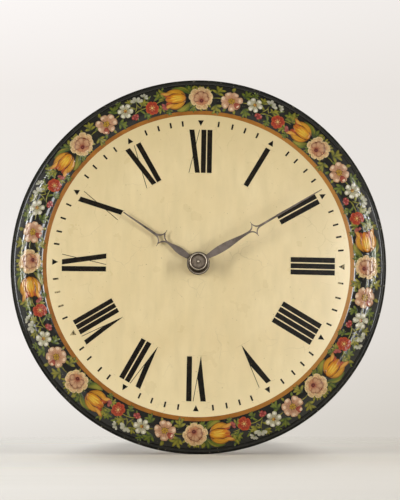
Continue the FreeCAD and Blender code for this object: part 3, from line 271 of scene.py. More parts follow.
def radius_from_axis(tree, place, x=0.0, z=0.0):
    """Distance, in metres, from the hand axis or from the line x, z millimetres beside it."""
    start = (-x * MM, 0, (-z - AXIS_Z) * MM)
    moved = add(tree, "Mapping", {"Vector": place, "Location": start, "Scale": (1, 0, 1)})
    return add(tree, "VectorMath", {"operation": "LENGTH", 0: moved}, "Value")


def black_lacquer(tree, place, black):
    """Black spirit lacquer over gesso, brushed on and polished: deep and glossy, with a few specks,
    and at the edge chipped and rubbed dull."""
    radius = radius_from_axis(tree, place)
    start, end = (SHIELD_RADIUS - 2.4) * MM, (SHIELD_RADIUS - 0.3) * MM
    near_edge = add(tree, "MapRange", {"Value": radius, "From Min": start, "From Max": end})
    chips = patches(tree, place, 1.6, 3.0, 0.66, 0.69)
    worn = add(tree, "Math", {"operation": "MULTIPLY", 0: near_edge, 1: chips})
    specks = patches(tree, place, 0.9, 1.0, 0.77, 0.79)
    bare = add(tree, "Math", {"operation": "MAXIMUM", 0: worn, 1: specks})
    colour = layer(tree, black, "#24231b", patches(tree, place, 9, 6.0, 0.35, 0.7))
    values = {
        "Base Color": layer(tree, colour, "#a59c86", bare),
        "IOR": 1.45,
        "Coat Roughness": 0.04,
        "relief": (0.03, patches(tree, place, 6, 4.0)),
    }
    start, end = (SHIELD_RADIUS - 3.0) * MM, (SHIELD_RADIUS - 1.5) * MM
    rubbed = add(tree, "MapRange", {"Value": radius, "From Min": start, "From Max": end})
    rough = patches(tree, place, 4, 8.0, 0.3, 0.75, (0.07, 0.16))
    for socket, polished, dull in (
        ("Roughness", rough, 0.7), ("Specular IOR Level", 0.5, 0.06), ("Coat Weight", 0.3, 0.0)
    ):
        ends = {"data_type": "FLOAT", 0: rubbed, 2: polished, 3: dull}
        values[socket] = add(tree, "Mix", ends)
    return values


def cream_paint(tree, place, cream):
    """Cream oil paint under yellowed varnish: a soft gloss, faint blotches and brush streaks, paler at
    the rim, with painted shade at the top and painted light at the foot, and fine cracks and specks."""
    radius = radius_from_axis(tree, place)
    blotch = patches(tree, place, 38, 5.0, 0.35, 0.68, roughness=0.6)
    colour = layer(tree, "#e8d29f", cream, blotch)
    streaks = add(tree, "Mapping", {"Vector": place, "Scale": (1, 1, 0.25)})
    colour = layer(tree, colour, "#e3cf9d", patches(tree, streaks, 7, 6.0, 0.4, 0.75))
    rim = add(tree, "MapRange", {"Value": radius, "From Min": 104 * MM, "From Max": 120 * MM})
    colour = layer(tree, colour, "#f2dfb0", rim, 0.45)
    upward = add(tree, "SeparateXYZ", {0: place}, "Z")
    outward = add(tree, "MapRange", {"Value": radius, "From Min": 75 * MM, "From Max": 120 * MM})
    # Painted shade darkens the top and painted light brightens the foot, both more so towards the rim
    for start, end, share, tone in (
        (AXIS_Z, AXIS_Z + 120, 0.8, "#d6c18c"),
        (AXIS_Z - 30, AXIS_Z - 130, 0.5, "#fae9b8"),
    ):
        limits = {"From Min": start * MM, "From Max": end * MM}
        amount = add(tree, "MapRange", {"Value": upward, **limits})
        colour = layer(tree, colour, tone, amount, outward, share)
    wobble = add(tree, "TexNoise", {"Vector": place, "Scale": 1 / (12 * MM)}, "Color")
    bent = add(tree, "Mix", {"data_type": "VECTOR", 0: 0.012, 4: place, 5: wobble}, 1)
    cells = {"feature": "DISTANCE_TO_EDGE", "Vector": bent, "Scale": 1 / (17 * MM)}
    crack = add(tree, "TexVoronoi", cells, "Distance")
    crack = add(tree, "MapRange", {"Value": crack, "From Min": 0.018, "From Max": 0.0})
    cracked = patches(tree, place, 30, 2.0, 0.52, 0.66)
    colour = layer(tree, colour, "#8f7a4c", crack, cracked, 0.24)
    colour = layer(tree, colour, "#8b7440", patches(tree, place, 1.5, 2.0, 0.735, 0.76), 0.6)
    return {
        "Base Color": colour,
        "Roughness": patches(tree, place, 15, 6.0, 0.3, 0.7, (0.26, 0.42)),
        "IOR": 1.5,
        "Coat Weight": 0.25,
        "Coat Roughness": 0.2,
        "relief": (0.12, patches(tree, place, 11, 3.0)),
    }


def ochre_paint(tree, place, ochre):
    """Ochre oil paint, one brushed band: uneven in thickness, so brown where it is thin, and
    lighter to the right."""
    colour = layer(tree, "#8a5314", ochre, patches(tree, place, 8, 7.0, 0.35, 0.7))
    rightward = add(tree, "SeparateXYZ", {0: place}, "X")
    limits = {"From Min": -10 * MM, "From Max": 110 * MM}
    colour = layer(tree, colour, "#a9701f", add(tree, "MapRange", {"Value": rightward, **limits}))
    return {
        "Base Color": colour,
        "Roughness": 0.5,
        "IOR": 1.3,
        "Coat Weight": 0.08,
        "Coat Roughness": 0.15,
        "relief": (0.1, patches(tree, place, 3, 3.0)),
    }


# Where the track's paint is rubbed: x and z from the hand axis, and how far round, in millimetres
RUBBED_PLACES = ((115.0, -13.0, 18.0), (-112.0, -24.0, 16.0), (-99.0, -58.0, 9.0))


def numeral_paint(tree, place, black):
    """Lampblack oil paint laid on flat: near black, brown where it has worn thin, and rubbed
    through in places on the minute track."""
    radius = radius_from_axis(tree, place)
    on_track = add(tree, "MapRange", {"Value": radius, "From Min": 109 * MM, "From Max": 110.5 * MM})
    colour = layer(tree, black, "#241a0e", patches(tree, place, 3.2, 6.0, 0.42, 0.72))
    colour = layer(tree, colour, "#a8915f", patches(tree, place, 0.8, 2.0, 0.72, 0.75), 0.5)
    for x, z, reach in RUBBED_PLACES:
        limits = {"From Min": reach * MM, "From Max": 0.4 * reach * MM}
        near = add(tree, "MapRange", {"Value": radius_from_axis(tree, place, x, z), **limits})
        thin = patches(tree, place, 1.3, 4.0, 0.42, 0.56)
        colour = layer(tree, colour, "#cbb583", near, thin, on_track, 0.8)
    return {
        "Base Color": colour, "Roughness": 0.4, "IOR": 1.22,
        "relief": (0.04, patches(tree, place, 0.7, 3.0))
    }


def scribed_line(tree, place):
    """The setting-out line scratched in the varnish: a dull yellowish grey."""
    colour = layer(tree, "#c9b481", "#b9a474", patches(tree, place, 2.5, 4.0))
    return {"Base Color": colour, "Roughness": 0.5}


def flower_paint(tree, place):
    """Oil paint dabbed with a small round brush and varnished: its colour comes from each dab's
    own attribute, and the brush's hairs leave darker lines along the stroke."""
    own = add(tree, "Attribute", {"attribute_name": "paint"}, "Color")
    along = add(tree, "UVMap", {"uv_map": "stroke"})
    hairs = add(tree, "Mapping", {"Vector": along, "Scale": (1.5, 9.0, 1.0)})
    bristle = add(tree, "TexNoise", {"Vector": hairs, "Scale": 1.0, "Detail": 4.0})
    line = add(tree, "MapRange", {"Value": bristle, "From Min": 0.62, "From Max": 0.38})
    darker = layer(tree, own, "#3a2416", 0.45, blend="MULTIPLY")
    return {
        "Base Color": layer(tree, own, darker, line),
        "Roughness": 0.45,
        "IOR": 1.25,
        "Coat Weight": 0.6,
        "Coat Roughness": 0.05,
        "relief": (0.12, bristle),
    }


# The tree's pith lies this far beside a board, in metres
PITH = (0.31, 0.23, 0.17)


def solid_wood(tree, place, grain, pale, dark, ring_mm, roughness):
    """Planed wood, waxed by handling: growth rings about a far pith along the grain axis, fibres
    drawn out along it, and grime in patches."""
    axis = "XYZ".index(grain)
    aside = [0.0 if k == axis else PITH[k] for k in range(3)]
    stretch, drawn = ([share if k == axis else 1.0 for k in range(3)] for share in (0.12, 0.03))
    wobble = {"Vector": place, "Scale": 1 / (70 * MM), "Detail": 2.0}
    wobble = add(tree, "TexNoise", wobble, "Color")
    bent = add(tree, "Mix", {"data_type": "VECTOR", 0: 0.018, 4: place, 5: wobble}, 1)
    shifted = add(tree, "Mapping", {"Vector": bent, "Location": aside, "Scale": stretch})
    wave = {
        "wave_type": "RINGS",
        "rings_direction": grain,
        "wave_profile": "SAW",
        "Vector": shifted,
        "Scale": math.pi / (10 * ring_mm * MM),
        "Distortion": 2.0,
        "Detail": 2.0,
        "Detail Scale": 0.6,
    }
    rings = add(tree, "TexWave", wave, "Fac")
    late_wood = add(tree, "Math", {"operation": "POWER", 0: rings, 1: 3.0})
    colour = layer(tree, pale, dark, late_wood)
    along = add(tree, "Mapping", {"Vector": place, "Scale": drawn})
    fibre = patches(tree, along, 0.9, 5.0)
    lines = add(tree, "MapRange", {"Value": fibre, "From Min": 0.45, "From Max": 0.75})
    colour = layer(tree, colour, dark, lines, 0.5)
    grime = patches(tree, place, 45, 6.0, 0.45, 0.8, roughness=0.65)
    colour = layer(tree, colour, "#4a3520", grime, 0.4)
    return {"Base Color": colour, "Roughness": roughness, "IOR": 1.45, "relief": (0.12, fibre)}


def filed_metal(tree, place, bright, dull, roughness, grain_mm):
    """Bare metal, filed and rubbed: bright where handled, duller in blotches where it has tarnished."""
    tarnish = patches(tree, place, 6, 6.0, 0.4, 0.72, roughness=0.6)
    filed = add(tree, "Mapping", {"Vector": place, "Scale": (1, 1, 0.15)})
    scratches = patches(tree, filed, grain_mm, 4.0)
    limits = {"To Min": roughness * 0.75, "To Max": min(1.0, roughness * 1.45)}
    rough = {"Value": scratches, "From Min": 0.3, "From Max": 0.75, **limits}
    return {
        "Base Color": layer(tree, bright, dull, tarnish),
        "Metallic": 1.0,
        "Roughness": add(tree, "MapRange", rough),
        "relief": (0.02, scratches),
    }


# The hub's rings from the hand axis outward, in millimetres, and how far they are measured: the
# bright tip and rims are painted highlights, the dark rings painted shade in hollows and under the cap
TURNED_REACH = 10.0
TIP_HIGHLIGHT_RINGS = ((0.0, "#fff4e2"), (0.6, "#efe4d2"), (1.1, "#7c7061"), (2.0, "#5c5246"))
CAP_HIGHLIGHT_AND_SHADE_RINGS = (
    (0.0, "#6e6458"), (3.6, "#7c7165"), (5.2, "#574c42"), (6.0, "#5e5348"), (6.25, "#d6cab8"),
    (6.5, "#c4b8a6"), (6.75, "#3c342c"),
)
BOSS_HIGHLIGHT_AND_SHADE_RINGS = (
    (6.6, "#2c261f"), (7.4, "#5a5044"), (7.9, "#4a4137"), (8.15, "#b4a998"), (8.45, "#9c9180"),
    (8.75, "#30281f"),
)


def turned_metal_painted_light(tree, place, rings):
    """Steel turned round the hand axis, coloured by rings: painted highlights on its proud rings and
    tip, painted shade in its hollows and under the cap, and a few stains.
    """
    radius = radius_from_axis(tree, place)
    share = add(tree, "MapRange", {"Value": radius, "From Max": TURNED_REACH * MM})
    stops = [(distance / TURNED_REACH, colour) for distance, colour in rings]
    ring = add(tree, "ValToRGB", {"stops": stops, "Fac": share})
    stain = patches(tree, place, 1.6, 5.0, 0.45, 0.7)
    return {
        "Base Color": layer(tree, ring, "#8a7a66", stain, 0.6, blend="MULTIPLY"),
        "Metallic": 1.0,
        "Roughness": 0.5,
        "relief": (0.03, patches(tree, place, 0.8, 4.0)),
    }


def worked_copy(node, ending, material, ease_mm, segments=2):
    """A copy of a CAD solid, its loose triangles merged and its corners eased by a bevel."""
    source = frame["nodes"][node]
    mesh = source.data.copy()
    if "custom_normal" in mesh.attributes:
        mesh.attributes.remove(mesh.attributes["custom_normal"])
    shape = bmesh.new()
    shape.from_mesh(mesh)
    bmesh.ops.remove_doubles(shape, verts=shape.verts, dist=0.002 * MM)
    bmesh.ops.dissolve_limit(
        shape, angle_limit=math.radians(0.6), verts=shape.verts, edges=shape.edges
    )
    shape.to_mesh(mesh)
    shape.free()
    mesh.materials.clear()
    mesh.materials.append(material)
    mesh.polygons.foreach_set("use_smooth", np.full(len(mesh.polygons), True))
    mesh.set_sharp_from_angle(angle=math.radians(31))
    piece = bpy.data.objects.new(node + ending, mesh)
    bpy.context.scene.collection.objects.link(piece)
    bevel = piece.modifiers.new("eased_edges", "BEVEL")
    bevel.width = ease_mm * MM
    bevel.segments = segments
    bevel.limit_method = "ANGLE"
    bevel.angle_limit = math.radians(31)
    bevel.harden_normals = True
    bevel.use_clamp_overlap = True
    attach(piece, source["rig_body"])
    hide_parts(node)
    return piece


def finish_nodes(names, material):
    """Give CAD nodes that stay as they are one material."""
    for name in names:
        slots = frame["nodes"][name].data.materials
        slots.clear()
        slots.append(material)


# The edges of painted strokes lie this far inside the shield, in millimetres
SUNK = -0.06


def paint_strokes(name, strokes, height_mm, material):
    """Flat brush strokes laid on the shield. Each row is (turn, y0, y1, x0, x1, w0, w1): in axes
    turned to a clock angle, x clockwise and y outward, the middle runs straight from (x0, y0) to
    (x1, y1) and the width from w0 to w1. Across, four points make a low plate with sunk edges."""
    turn, y0, y1, x0, x1, w0, w1 = np.array(strokes, float).T[:, :, None, None]
    along = np.linspace(0, 1, 10)[None, :, None]
    edge = 0.07
    across = np.array([-1.0, -1.0, 1.0, 1.0])
    inset = np.array([0.0, edge, -edge, 0.0])
    height = np.array([SUNK, height_mm, height_mm, SUNK])
    half = (w0 + (w1 - w0) * along) / 2
    x = x0 + (x1 - x0) * along + half * across + np.minimum(1, half) * inset
    y = y0 + (y1 - y0) * along + 0 * x
    plane_x = x * np.cos(turn) + y * np.sin(turn)
    plane_z = y * np.cos(turn) - x * np.sin(turn)
    points = on_shield(plane_x, plane_z, height + 0 * x)
    count, steps, corners = x.shape
    starts = np.arange(count)[:, None, None] * steps * corners
    sides = (starts + grid_faces(steps, corners)[None]).reshape(-1, 4)
    first = (starts[:, 0] + np.arange(corners)[::-1]).reshape(-1, 4)
    last = (starts[:, 0] + (steps - 1) * corners + np.arange(corners)).reshape(-1, 4)
    piece = mesh_piece(name, points, [sides, first, last], "case", smooth=False)
    piece.data.materials.append(material)
    return piece


# Widths and places inside a numeral, measured across it in millimetres: thick bars, and the thin
# strokes that complete the X and the V
NUMERAL_INNER = 73.2
NUMERAL_OUTER = 108.5
THIN_WIDTH = 0.5
X_THICK_TOP, X_THICK_FOOT = 2.3, 7.4
X_THIN_TOP, X_THIN_FOOT = 8.5, 0.6
X_TO_BAR = 12.0
BAR_TO_X = 3.0
V_FOOT = 4.5
V_JOINT = 0.47
NUMERALS = ("XII", "I", "II", "III", "IIII", "V", "VI", "VII", "VIII", "IX", "X", "XI")
# As painted: width of a bar, distance between bars, how far the foot of the X or V leans clockwise,
# from the V's foot to the top of its thin stroke, and from the V's foot to the next bar
USUAL_FORM = (4.2, 4.95, 0.0, 4.0, 0.0)
NUMERAL_FORMS = {
    "XII": (4.1, 4.8, 0.0, 0.0, 0.0),
    "V": (4.25, 5.0, 2.2, 4.0, 0.0),
    "VI": (4.3, 5.0, 0.0, 5.6, 9.0),
    "VII": (4.2, 5.0, 0.0, 4.6, 7.6),
    "VIII": (3.85, 4.45, 0.0, 3.2, 6.8),
    "X": (4.3, 5.0, 2.8, 0.0, 0.0),
}

# Two numerals stand a little short of their hours
NUMERAL_TURNS = {"VII": math.radians(-1.0), "VIII": math.radians(-1.0)}


def numeral_strokes(text, turn):
    """The brush strokes of one numeral, its feet to the centre, centred on its clock angle, and
    its width."""
    turn += NUMERAL_TURNS.get(text, 0.0)
    bar, pitch, lean, thin_reach, foot_to_bar = NUMERAL_FORMS.get(text, USUAL_FORM)
    strokes = []
    low, high = NUMERAL_INNER, NUMERAL_OUTER
    place = 0.0
    right = 0.0
    for index, letter in enumerate(text):
        if letter == "I":
            centre = place + bar / 2
            strokes.append([low, high, centre, centre, bar * 0.96, bar])
            right = place + bar
            following = text[index + 1 : index + 2]
            place = centre + BAR_TO_X if following == "X" else place + pitch
        elif letter == "X":
            top, foot = place + X_THICK_TOP, place + X_THICK_FOOT + lean
            strokes.append([low, high, foot, top, bar * 0.96, bar])
            thin_foot, thin_top = place + X_THIN_FOOT + lean, place + X_THIN_TOP + lean / 3
            strokes.append([low, high, thin_foot, thin_top, THIN_WIDTH, THIN_WIDTH])
            right = max(thin_top, foot + bar / 2)
            place += X_TO_BAR - bar / 2
        else:
            apex = place + V_FOOT + lean
            thin_top = apex + thin_reach
            joint_radius = low + V_JOINT * (high - low)
            joint = place + (apex - place) * (1 - V_JOINT) + (thin_top - place) * V_JOINT / 2
            joint_width = (thin_top - place) * V_JOINT
            strokes.append([low, joint_radius, apex, joint, 0.3, joint_width])
            strokes.append([joint_radius, high, joint, place + bar / 2, joint_width, bar])
            strokes.append([low + 2, high, apex + 0.2, thin_top, THIN_WIDTH, THIN_WIDTH])
            right = thin_top
            place = apex + foot_to_bar - bar / 2
    rows = [
        [turn, y0, y1, x0 - right / 2, x1 - right / 2, w0, w1] for y0, y1, x0, x1, w0, w1 in strokes
    ]
    return rows, right


# The minute track: ticks between a triangle at each hour, its point inward at the quarters
TRACK_INNER = 111.7
TRACK_OUTER = 116.2
TICK_WIDTH = 1.45
TRIANGLE_BASE = 4.7
TICK_UNEVENNESS = math.radians(0.3)
# The four ticks between two triangles stand closer to one another than to the triangles
TICK_START = math.radians(7.2)
TICK_STEP = math.radians(5.35)


def minute_strokes(dial_turn):
    """The ticks and triangles of the minute track."""
    strokes = []
    for hour in range(12):
        turn = dial_turn + math.radians(30 * hour)
        widths = (0.2, TRIANGLE_BASE) if hour % 3 == 0 else (TRIANGLE_BASE, 0.2)
        strokes.append([turn, TRACK_INNER, TRACK_OUTER, 0, 0, *widths])
        for tick in range(4):
            tick_turn = turn + TICK_START + TICK_STEP * tick + rng.normal(0, TICK_UNEVENNESS)
            strokes.append([tick_turn, TRACK_INNER, TRACK_OUTER, 0, 0, TICK_WIDTH, TICK_WIDTH])
    return strokes


def setting_out_strokes(dial_turn):
    """The scribed chords at both ends of each numeral."""
    strokes = []
    for hour, text in enumerate(NUMERALS):
        turn = dial_turn + math.radians(30 * hour)
        reach = numeral_strokes(text, turn)[1] + 7
        for radius, share in ((NUMERAL_OUTER + 0.5, 1.0), (NUMERAL_INNER - 0.6, 0.7)):
            width = reach * share
            strokes.append([turn, radius - 0.08, radius + 0.08, 0, 0, width, width])
    return strokes


def colour_of(value):
    """A hex colour as an array of linear red, green, blue."""
    return np.array(linear(value))


def dab(start, end, width, base, tip, rim=None, point=1.0, taper=0.0, bow=0.0, lift=0.1, rise=0.15):
    """One touch of the brush from start to end (clockwise mm, outward mm), as a row of numbers.
    width is half its breadth, point above 1 sharpens its ends, taper above 0 widens the tip, and
    bow bends it sideways by that share of its length."""
    base, tip = colour_of(base), colour_of(tip)
    rim = (base + tip) * 0.36 if rim is None else colour_of(rim)
    return [*start, *end, width, point, taper, bow, lift, rise, *base, *tip, *rim]


# A dab's grid: sectors, the shares of the way out, and how high the paint still stands there
DAB_SECTORS = 14
DAB_RINGS = np.array([0.0, 0.5, 0.85, 1.0, 0.97])
DAB_DOMES = np.array([1.0, 0.78, 0.3, 0.0])


def paint_dabs(name, rows, dial_turn, material):
    """Dabs as low closed domes on the shield. A point at share p of the way out and angle a lies
    at (1 - p cos a) / 2 along the dab and at p |sin a|^point (1 - taper cos a) of its half width
    across. Its colour runs from base to tip along the dab and to the rim's colour outward."""
    data = np.array(rows, float)
    count = len(data)
    (s0, t0, s1, t1, width, point, taper, bow, lift, rise) = data[:, :10].T[:, :, None, None]
    base, tip, rim = (data[:, k : k + 3][:, None, None, :] for k in (10, 13, 16))
    angle = (np.arange(DAB_SECTORS) * 2 * math.pi / DAB_SECTORS)[None, None, :]
    out = DAB_RINGS[None, :, None]
    along = (1 - out * np.cos(angle)) / 2
    side = out * np.sign(np.sin(angle)) * np.abs(np.sin(angle)) ** point * (1 - taper * np.cos(angle))
    length_s, length_t = s1 - s0, t1 - t0
    length = np.hypot(length_s, length_t)
    across = side * width + bow * length * 4 * along * (1 - along)
    s = s0 + length_s * along - length_t / length * across
    t = t0 + length_t * along + length_s / length * across
    height = lift + rise * np.append(DAB_DOMES, 0.0)[None, :, None] + 0 * s
    height[:, -1, :] = SUNK
    turn = dial_turn + s / GARLAND_RADIUS
    radius = GARLAND_RADIUS + t
    points = on_shield(radius * np.sin(turn), radius * np.cos(turn), height)
    outward = (out**3)[..., None]
    paint = base + (tip - base) * along[..., None]
    paint = paint * (1 - outward) + rim * outward
    stroke = np.stack([along + 0 * s, side + np.arange(count)[:, None, None] * 0.37], axis=-1)

    top, ring_points = points[:, 0, :1], points[:, 1:].reshape(count, -1, 3)
    middle_turn, middle_radius = turn[:, 0, :1], radius[:, 0, :1]
    middle_x, middle_z = middle_radius * np.sin(middle_turn), middle_radius * np.cos(middle_turn)
    under = on_shield(middle_x, middle_z, SUNK + 0 * middle_turn)
    points = np.concatenate([top, ring_points, under], axis=1)
    size = points.shape[1]
    paint = np.concatenate(
        [paint[:, 0, :1], paint[:, 1:].reshape(count, -1, 3), paint[:, 0, :1]], axis=1
    )
    stroke = np.concatenate(
        [stroke[:, 0, :1], stroke[:, 1:].reshape(count, -1, 2), stroke[:, 0, :1]], axis=1
    )
    starts = (np.arange(count) * size)[:, None, None]
    rings = len(DAB_RINGS) - 1
    quads = (starts + 1 + grid_faces(rings, DAB_SECTORS)[None]).reshape(-1, 4)
    j = np.arange(DAB_SECTORS)
    following = (j + 1) % DAB_SECTORS
    cap = np.stack([0 * j, 1 + following, 1 + j], axis=-1)
    last = 1 + (rings - 1) * DAB_SECTORS
    floor = np.stack([0 * j + size - 1, last + j, last + following], axis=-1)
    fans = (starts + np.concatenate([cap, floor])[None]).reshape(-1, 3)
    piece = mesh_piece(name, points, [quads, fans], "case")
    mesh = piece.data
    colours = mesh.color_attributes.new("paint", "FLOAT_COLOR", "POINT")
    opaque = np.concatenate([paint.reshape(-1, 3), np.ones((count * size, 1))], axis=1)
    colours.data.foreach_set("color", opaque.astype(np.float32).ravel())
    corners = np.empty(len(mesh.loops), np.int32)
    mesh.loops.foreach_get("vertex_index", corners)
    layer = mesh.uv_layers.new(name="stroke")
    layer.uv.foreach_set("vector", stroke.reshape(-1, 2)[corners].astype(np.float32).ravel())
    mesh.materials.append(material)
    return piece


def polar_point(centre, distance, degrees, squash=1.0):
    """The point that far from a centre at an angle from clockwise to outward, flattened by squash."""
    a = math.radians(degrees)
    return centre[0] + distance * math.cos(a), centre[1] + distance * math.sin(a) * squash


def petals(centre, count, inner, outer, width, turn, colours, squash=1.0, **shape):
    """Petals round a centre, each a little different, from inner to outer."""
    rows = []
    for index in range(count):
        degrees = turn + index * 360 / count + rng.normal(0, 4)
        reach = outer * rng.uniform(0.93, 1.05)
        start = polar_point(centre, inner, degrees, squash)
        end = polar_point(centre, reach, degrees, squash)
        lift = shape.get("lift", 0.1) + 0.03 * (index % 2) + rng.uniform(0, 0.02)
        rows.append(
            dab(start, end, width * rng.uniform(0.93, 1.07), *colours, **{**shape, "lift": lift})
        )
    return rows


def disc(centre, radius, colours, squash=1.0, **shape):
    """One round dab."""
    start = (centre[0] - radius, centre[1])
    end = (centre[0] + radius, centre[1])
    return dab(start, end, radius * squash, *colours, **shape)


def rose(centre):
    """A full rose: scalloped pale petals, a round salmon cup outlined in brown, its folded petals,
    and a dark red heart on the side of the dial."""
    squash = 0.93
    lean = -90 + rng.uniform(-40, 40)
    cup = polar_point(centre, 0.8, lean)
    heart = polar_point(centre, 2.6, lean)
    rows = [disc(centre, 8.9, ("#46200e", "#46200e", "#20120a"), squash, lift=0.1, rise=0.06)]
    for reach, width, lift, colours in (
        (9.9, 2.7, 0.17, ("#8a4022", "#f0c888", "#f6dca4")),
        (8.3, 2.2, 0.24, ("#a0502c", "#f2c68c", "#f6d69c")),
    ):
        turn = rng.uniform(0, 40)
        rows += petals(
            centre, 9, 4.4, reach, width, turn, colours, squash, point=0.8, taper=0.3, lift=lift,
            rise=0.1
        )
    rows.append(
        disc(
            polar_point(cup, 0.45, lean + 180), 6.0, ("#8c4424", "#96502c", "#7c3a20"), 0.95, lift=0.37,
            rise=0.06
        )
    )
    rows.append(disc(cup, 5.5, ("#c87850", "#efb480", "#de9a68"), 0.95, lift=0.41, rise=0.12))
    folds = ("#a04c2c", "#f2c894", "#844024")
    for degrees, reach in (
        (lean + 108, 6.4), (lean - 108, 6.4), (lean + 146, 7.6), (lean - 146, 7.6), (lean + 180, 8.2)
    ):
        start = polar_point(heart, 0.6, degrees)
        end = polar_point(heart, reach + rng.uniform(-0.3, 0.3), degrees + rng.normal(0, 5))
        rows.append(
            dab(
                start, end, 2.25, *folds, point=0.85, taper=0.35, lift=0.5 + rng.uniform(0, 0.05),
                rise=0.1
            )
        )
    rows.append(disc(heart, 2.5, ("#99462c", "#863624", "#b46646"), 0.9, lift=0.59, rise=0.05))
    rows.append(disc(heart, 1.6, ("#5c160c", "#48100a", "#6e2414"), 0.9, lift=0.63, rise=0.04))
    for degrees in (lean - 50, lean, lean + 50):
        start = polar_point(heart, 1.4, degrees)
        end = polar_point(heart, 3.4, degrees)
        rows.append(
            dab(
                start, end, 1.25, "#a65c3c", "#e4a874", "#bd7b4e", point=0.8, taper=0.2, lift=0.61,
                rise=0.07
            )
        )
    rows.append(disc(heart, 0.5, ("#a85038", "#a85038", "#8a3a28"), 0.9, lift=0.67, rise=0.02))
    return rows


def pink_daisy(centre):
    """Round separate pink petals, one of them redder, round a pointed olive-yellow middle."""
    turn = rng.uniform(0, 50)
    pink = ("#a86440", "#f2cca4", "#cc966c")
    rows = [disc(centre, 5.6, ("#3f2c17", "#3f2c17", "#24200f"), 0.9, lift=0.08, rise=0.04)]
    rows += petals(centre, 7, 2.5, 8.9, 2.75, turn, pink, 0.9, point=0.72, taper=0.28, lift=0.16)
    rows += petals(
        centre, 7, 5.6, 8.2, 1.4, turn, ("#f0c8a0", "#fae4c2", "#f0d0a8"), 0.9, point=0.9, lift=0.33,
        rise=0.04
    )
    degrees = turn + 360 / 7 * rng.integers(0, 7)
    start, end = polar_point(centre, 3.0, degrees, 0.9), polar_point(centre, 8.3, degrees, 0.9)
    rows.append(dab(start, end, 2.3, "#8c2a1c", "#cc6e50", "#9a3a26", point=0.75, taper=0.3, lift=0.25))
    rows.append(disc(centre, 2.4, ("#7a5410", "#a87c18", "#50380a"), 0.85, lift=0.3, rise=0.05))
    rows += petals(
        centre, 7, 0.3, 3.2, 0.8, turn + 24, ("#b98c1c", "#d6a830", "#8a6214"), 0.85, lift=0.35,
        rise=0.05
    )
    return rows


def white_daisy(centre):
    """Six white petals with green-grey roots round a yellow middle with a red-brown touch."""
    white = ("#949060", "#f4ecd4", "#c2ba94")
    rows = [disc(centre, 3.9, ("#2c3019", "#2c3019", "#1c2212"), lift=0.08, rise=0.04)]
    turn = rng.uniform(0, 60)
    rows += petals(centre, 6, 1.2, 6.4, 1.95, turn, white, point=0.85, taper=0.4, lift=0.2)
    rows += petals(
        centre, 6, 3.6, 5.9, 0.95, turn, ("#f4eed8", "#fbf7e6", "#f2ecd6"), lift=0.36, rise=0.03
    )
    rows.append(disc(centre, 1.5, ("#c2932c", "#dcb54a", "#8f6a20"), lift=0.34, rise=0.06))
    mark = polar_point(centre, 0.7, rng.uniform(0, 360))
    rows.append(disc(mark, 0.7, ("#96401f", "#a04a24", "#86381c"), lift=0.41, rise=0.02))
    return rows


def red_flower(centre):
    """Seven red petals with orange edges, round a pale yellow middle with orange rays."""
    red = ("#78180a", "#bd3614", "#cc5622")
    rows = [disc(centre, 4.4, ("#4a150d", "#4a150d", "#2c0f09"), lift=0.08, rise=0.04)]
    turn = rng.uniform(0, 60)
    rows += petals(centre, 7, 1.2, 5.6, 1.95, turn, red, point=0.75, taper=0.3, lift=0.18)
    rows += petals(
        centre, 7, 0.9, 2.9, 0.4, turn, ("#e2a35a", "#cf6a38", "#cf6a38"), lift=0.34, rise=0.04
    )
    rows.append(disc(centre, 1.0, ("#efd183", "#ecc572", "#d9a04e"), lift=0.38, rise=0.04))
    return rows


def red_bud(centre):
    """A small half-open bud of a few red dabs."""
    rows = []
    for degrees, reach in ((10, 3.3), (170, 3.1), (80, 2.5), (-70, 2.4)):
        end = polar_point(centre, reach, degrees + rng.normal(0, 8))
        lift = 0.18 + rng.uniform(0, 0.05)
        rows.append(
            dab(centre, end, 1.5, "#7f1f1a", "#bb4136", "#962c25", point=0.8, taper=0.4, lift=lift)
        )
        inner = polar_point(centre, reach * 0.85, degrees)
        rows.append(
            dab(
                polar_point(centre, reach * 0.45, degrees), inner, 0.55, "#cf6a5a", "#d98472",
                "#c45c4c", lift=0.35, rise=0.03
            )
        )
    return rows


def white_sprig(centre, size, lean):
    """A small white blossom seen from the side, its petals fanned out on one side of its calyx."""
    root = polar_point(centre, size * 0.55, lean + 180)
    rows = [
        dab(
            root, polar_point(root, size * 0.8, lean), size * 0.22, "#5f6b2c", "#98994f", "#4a5522",
            lift=0.14
        )
    ]
    for degrees in (-62, -22, 20, 60):
        reach = size * rng.uniform(1.15, 1.45)
        end = polar_point(root, reach, lean + degrees)
        start = polar_point(root, size * 0.3, lean + degrees)
        lift = 0.2 + rng.uniform(0, 0.06)
        rows.append(
            dab(
                start, end, size * 0.3, "#a3a27e", "#ebe6d3", "#c6c2a6", point=0.85, taper=0.4,
                lift=lift
            )
        )
    return rows


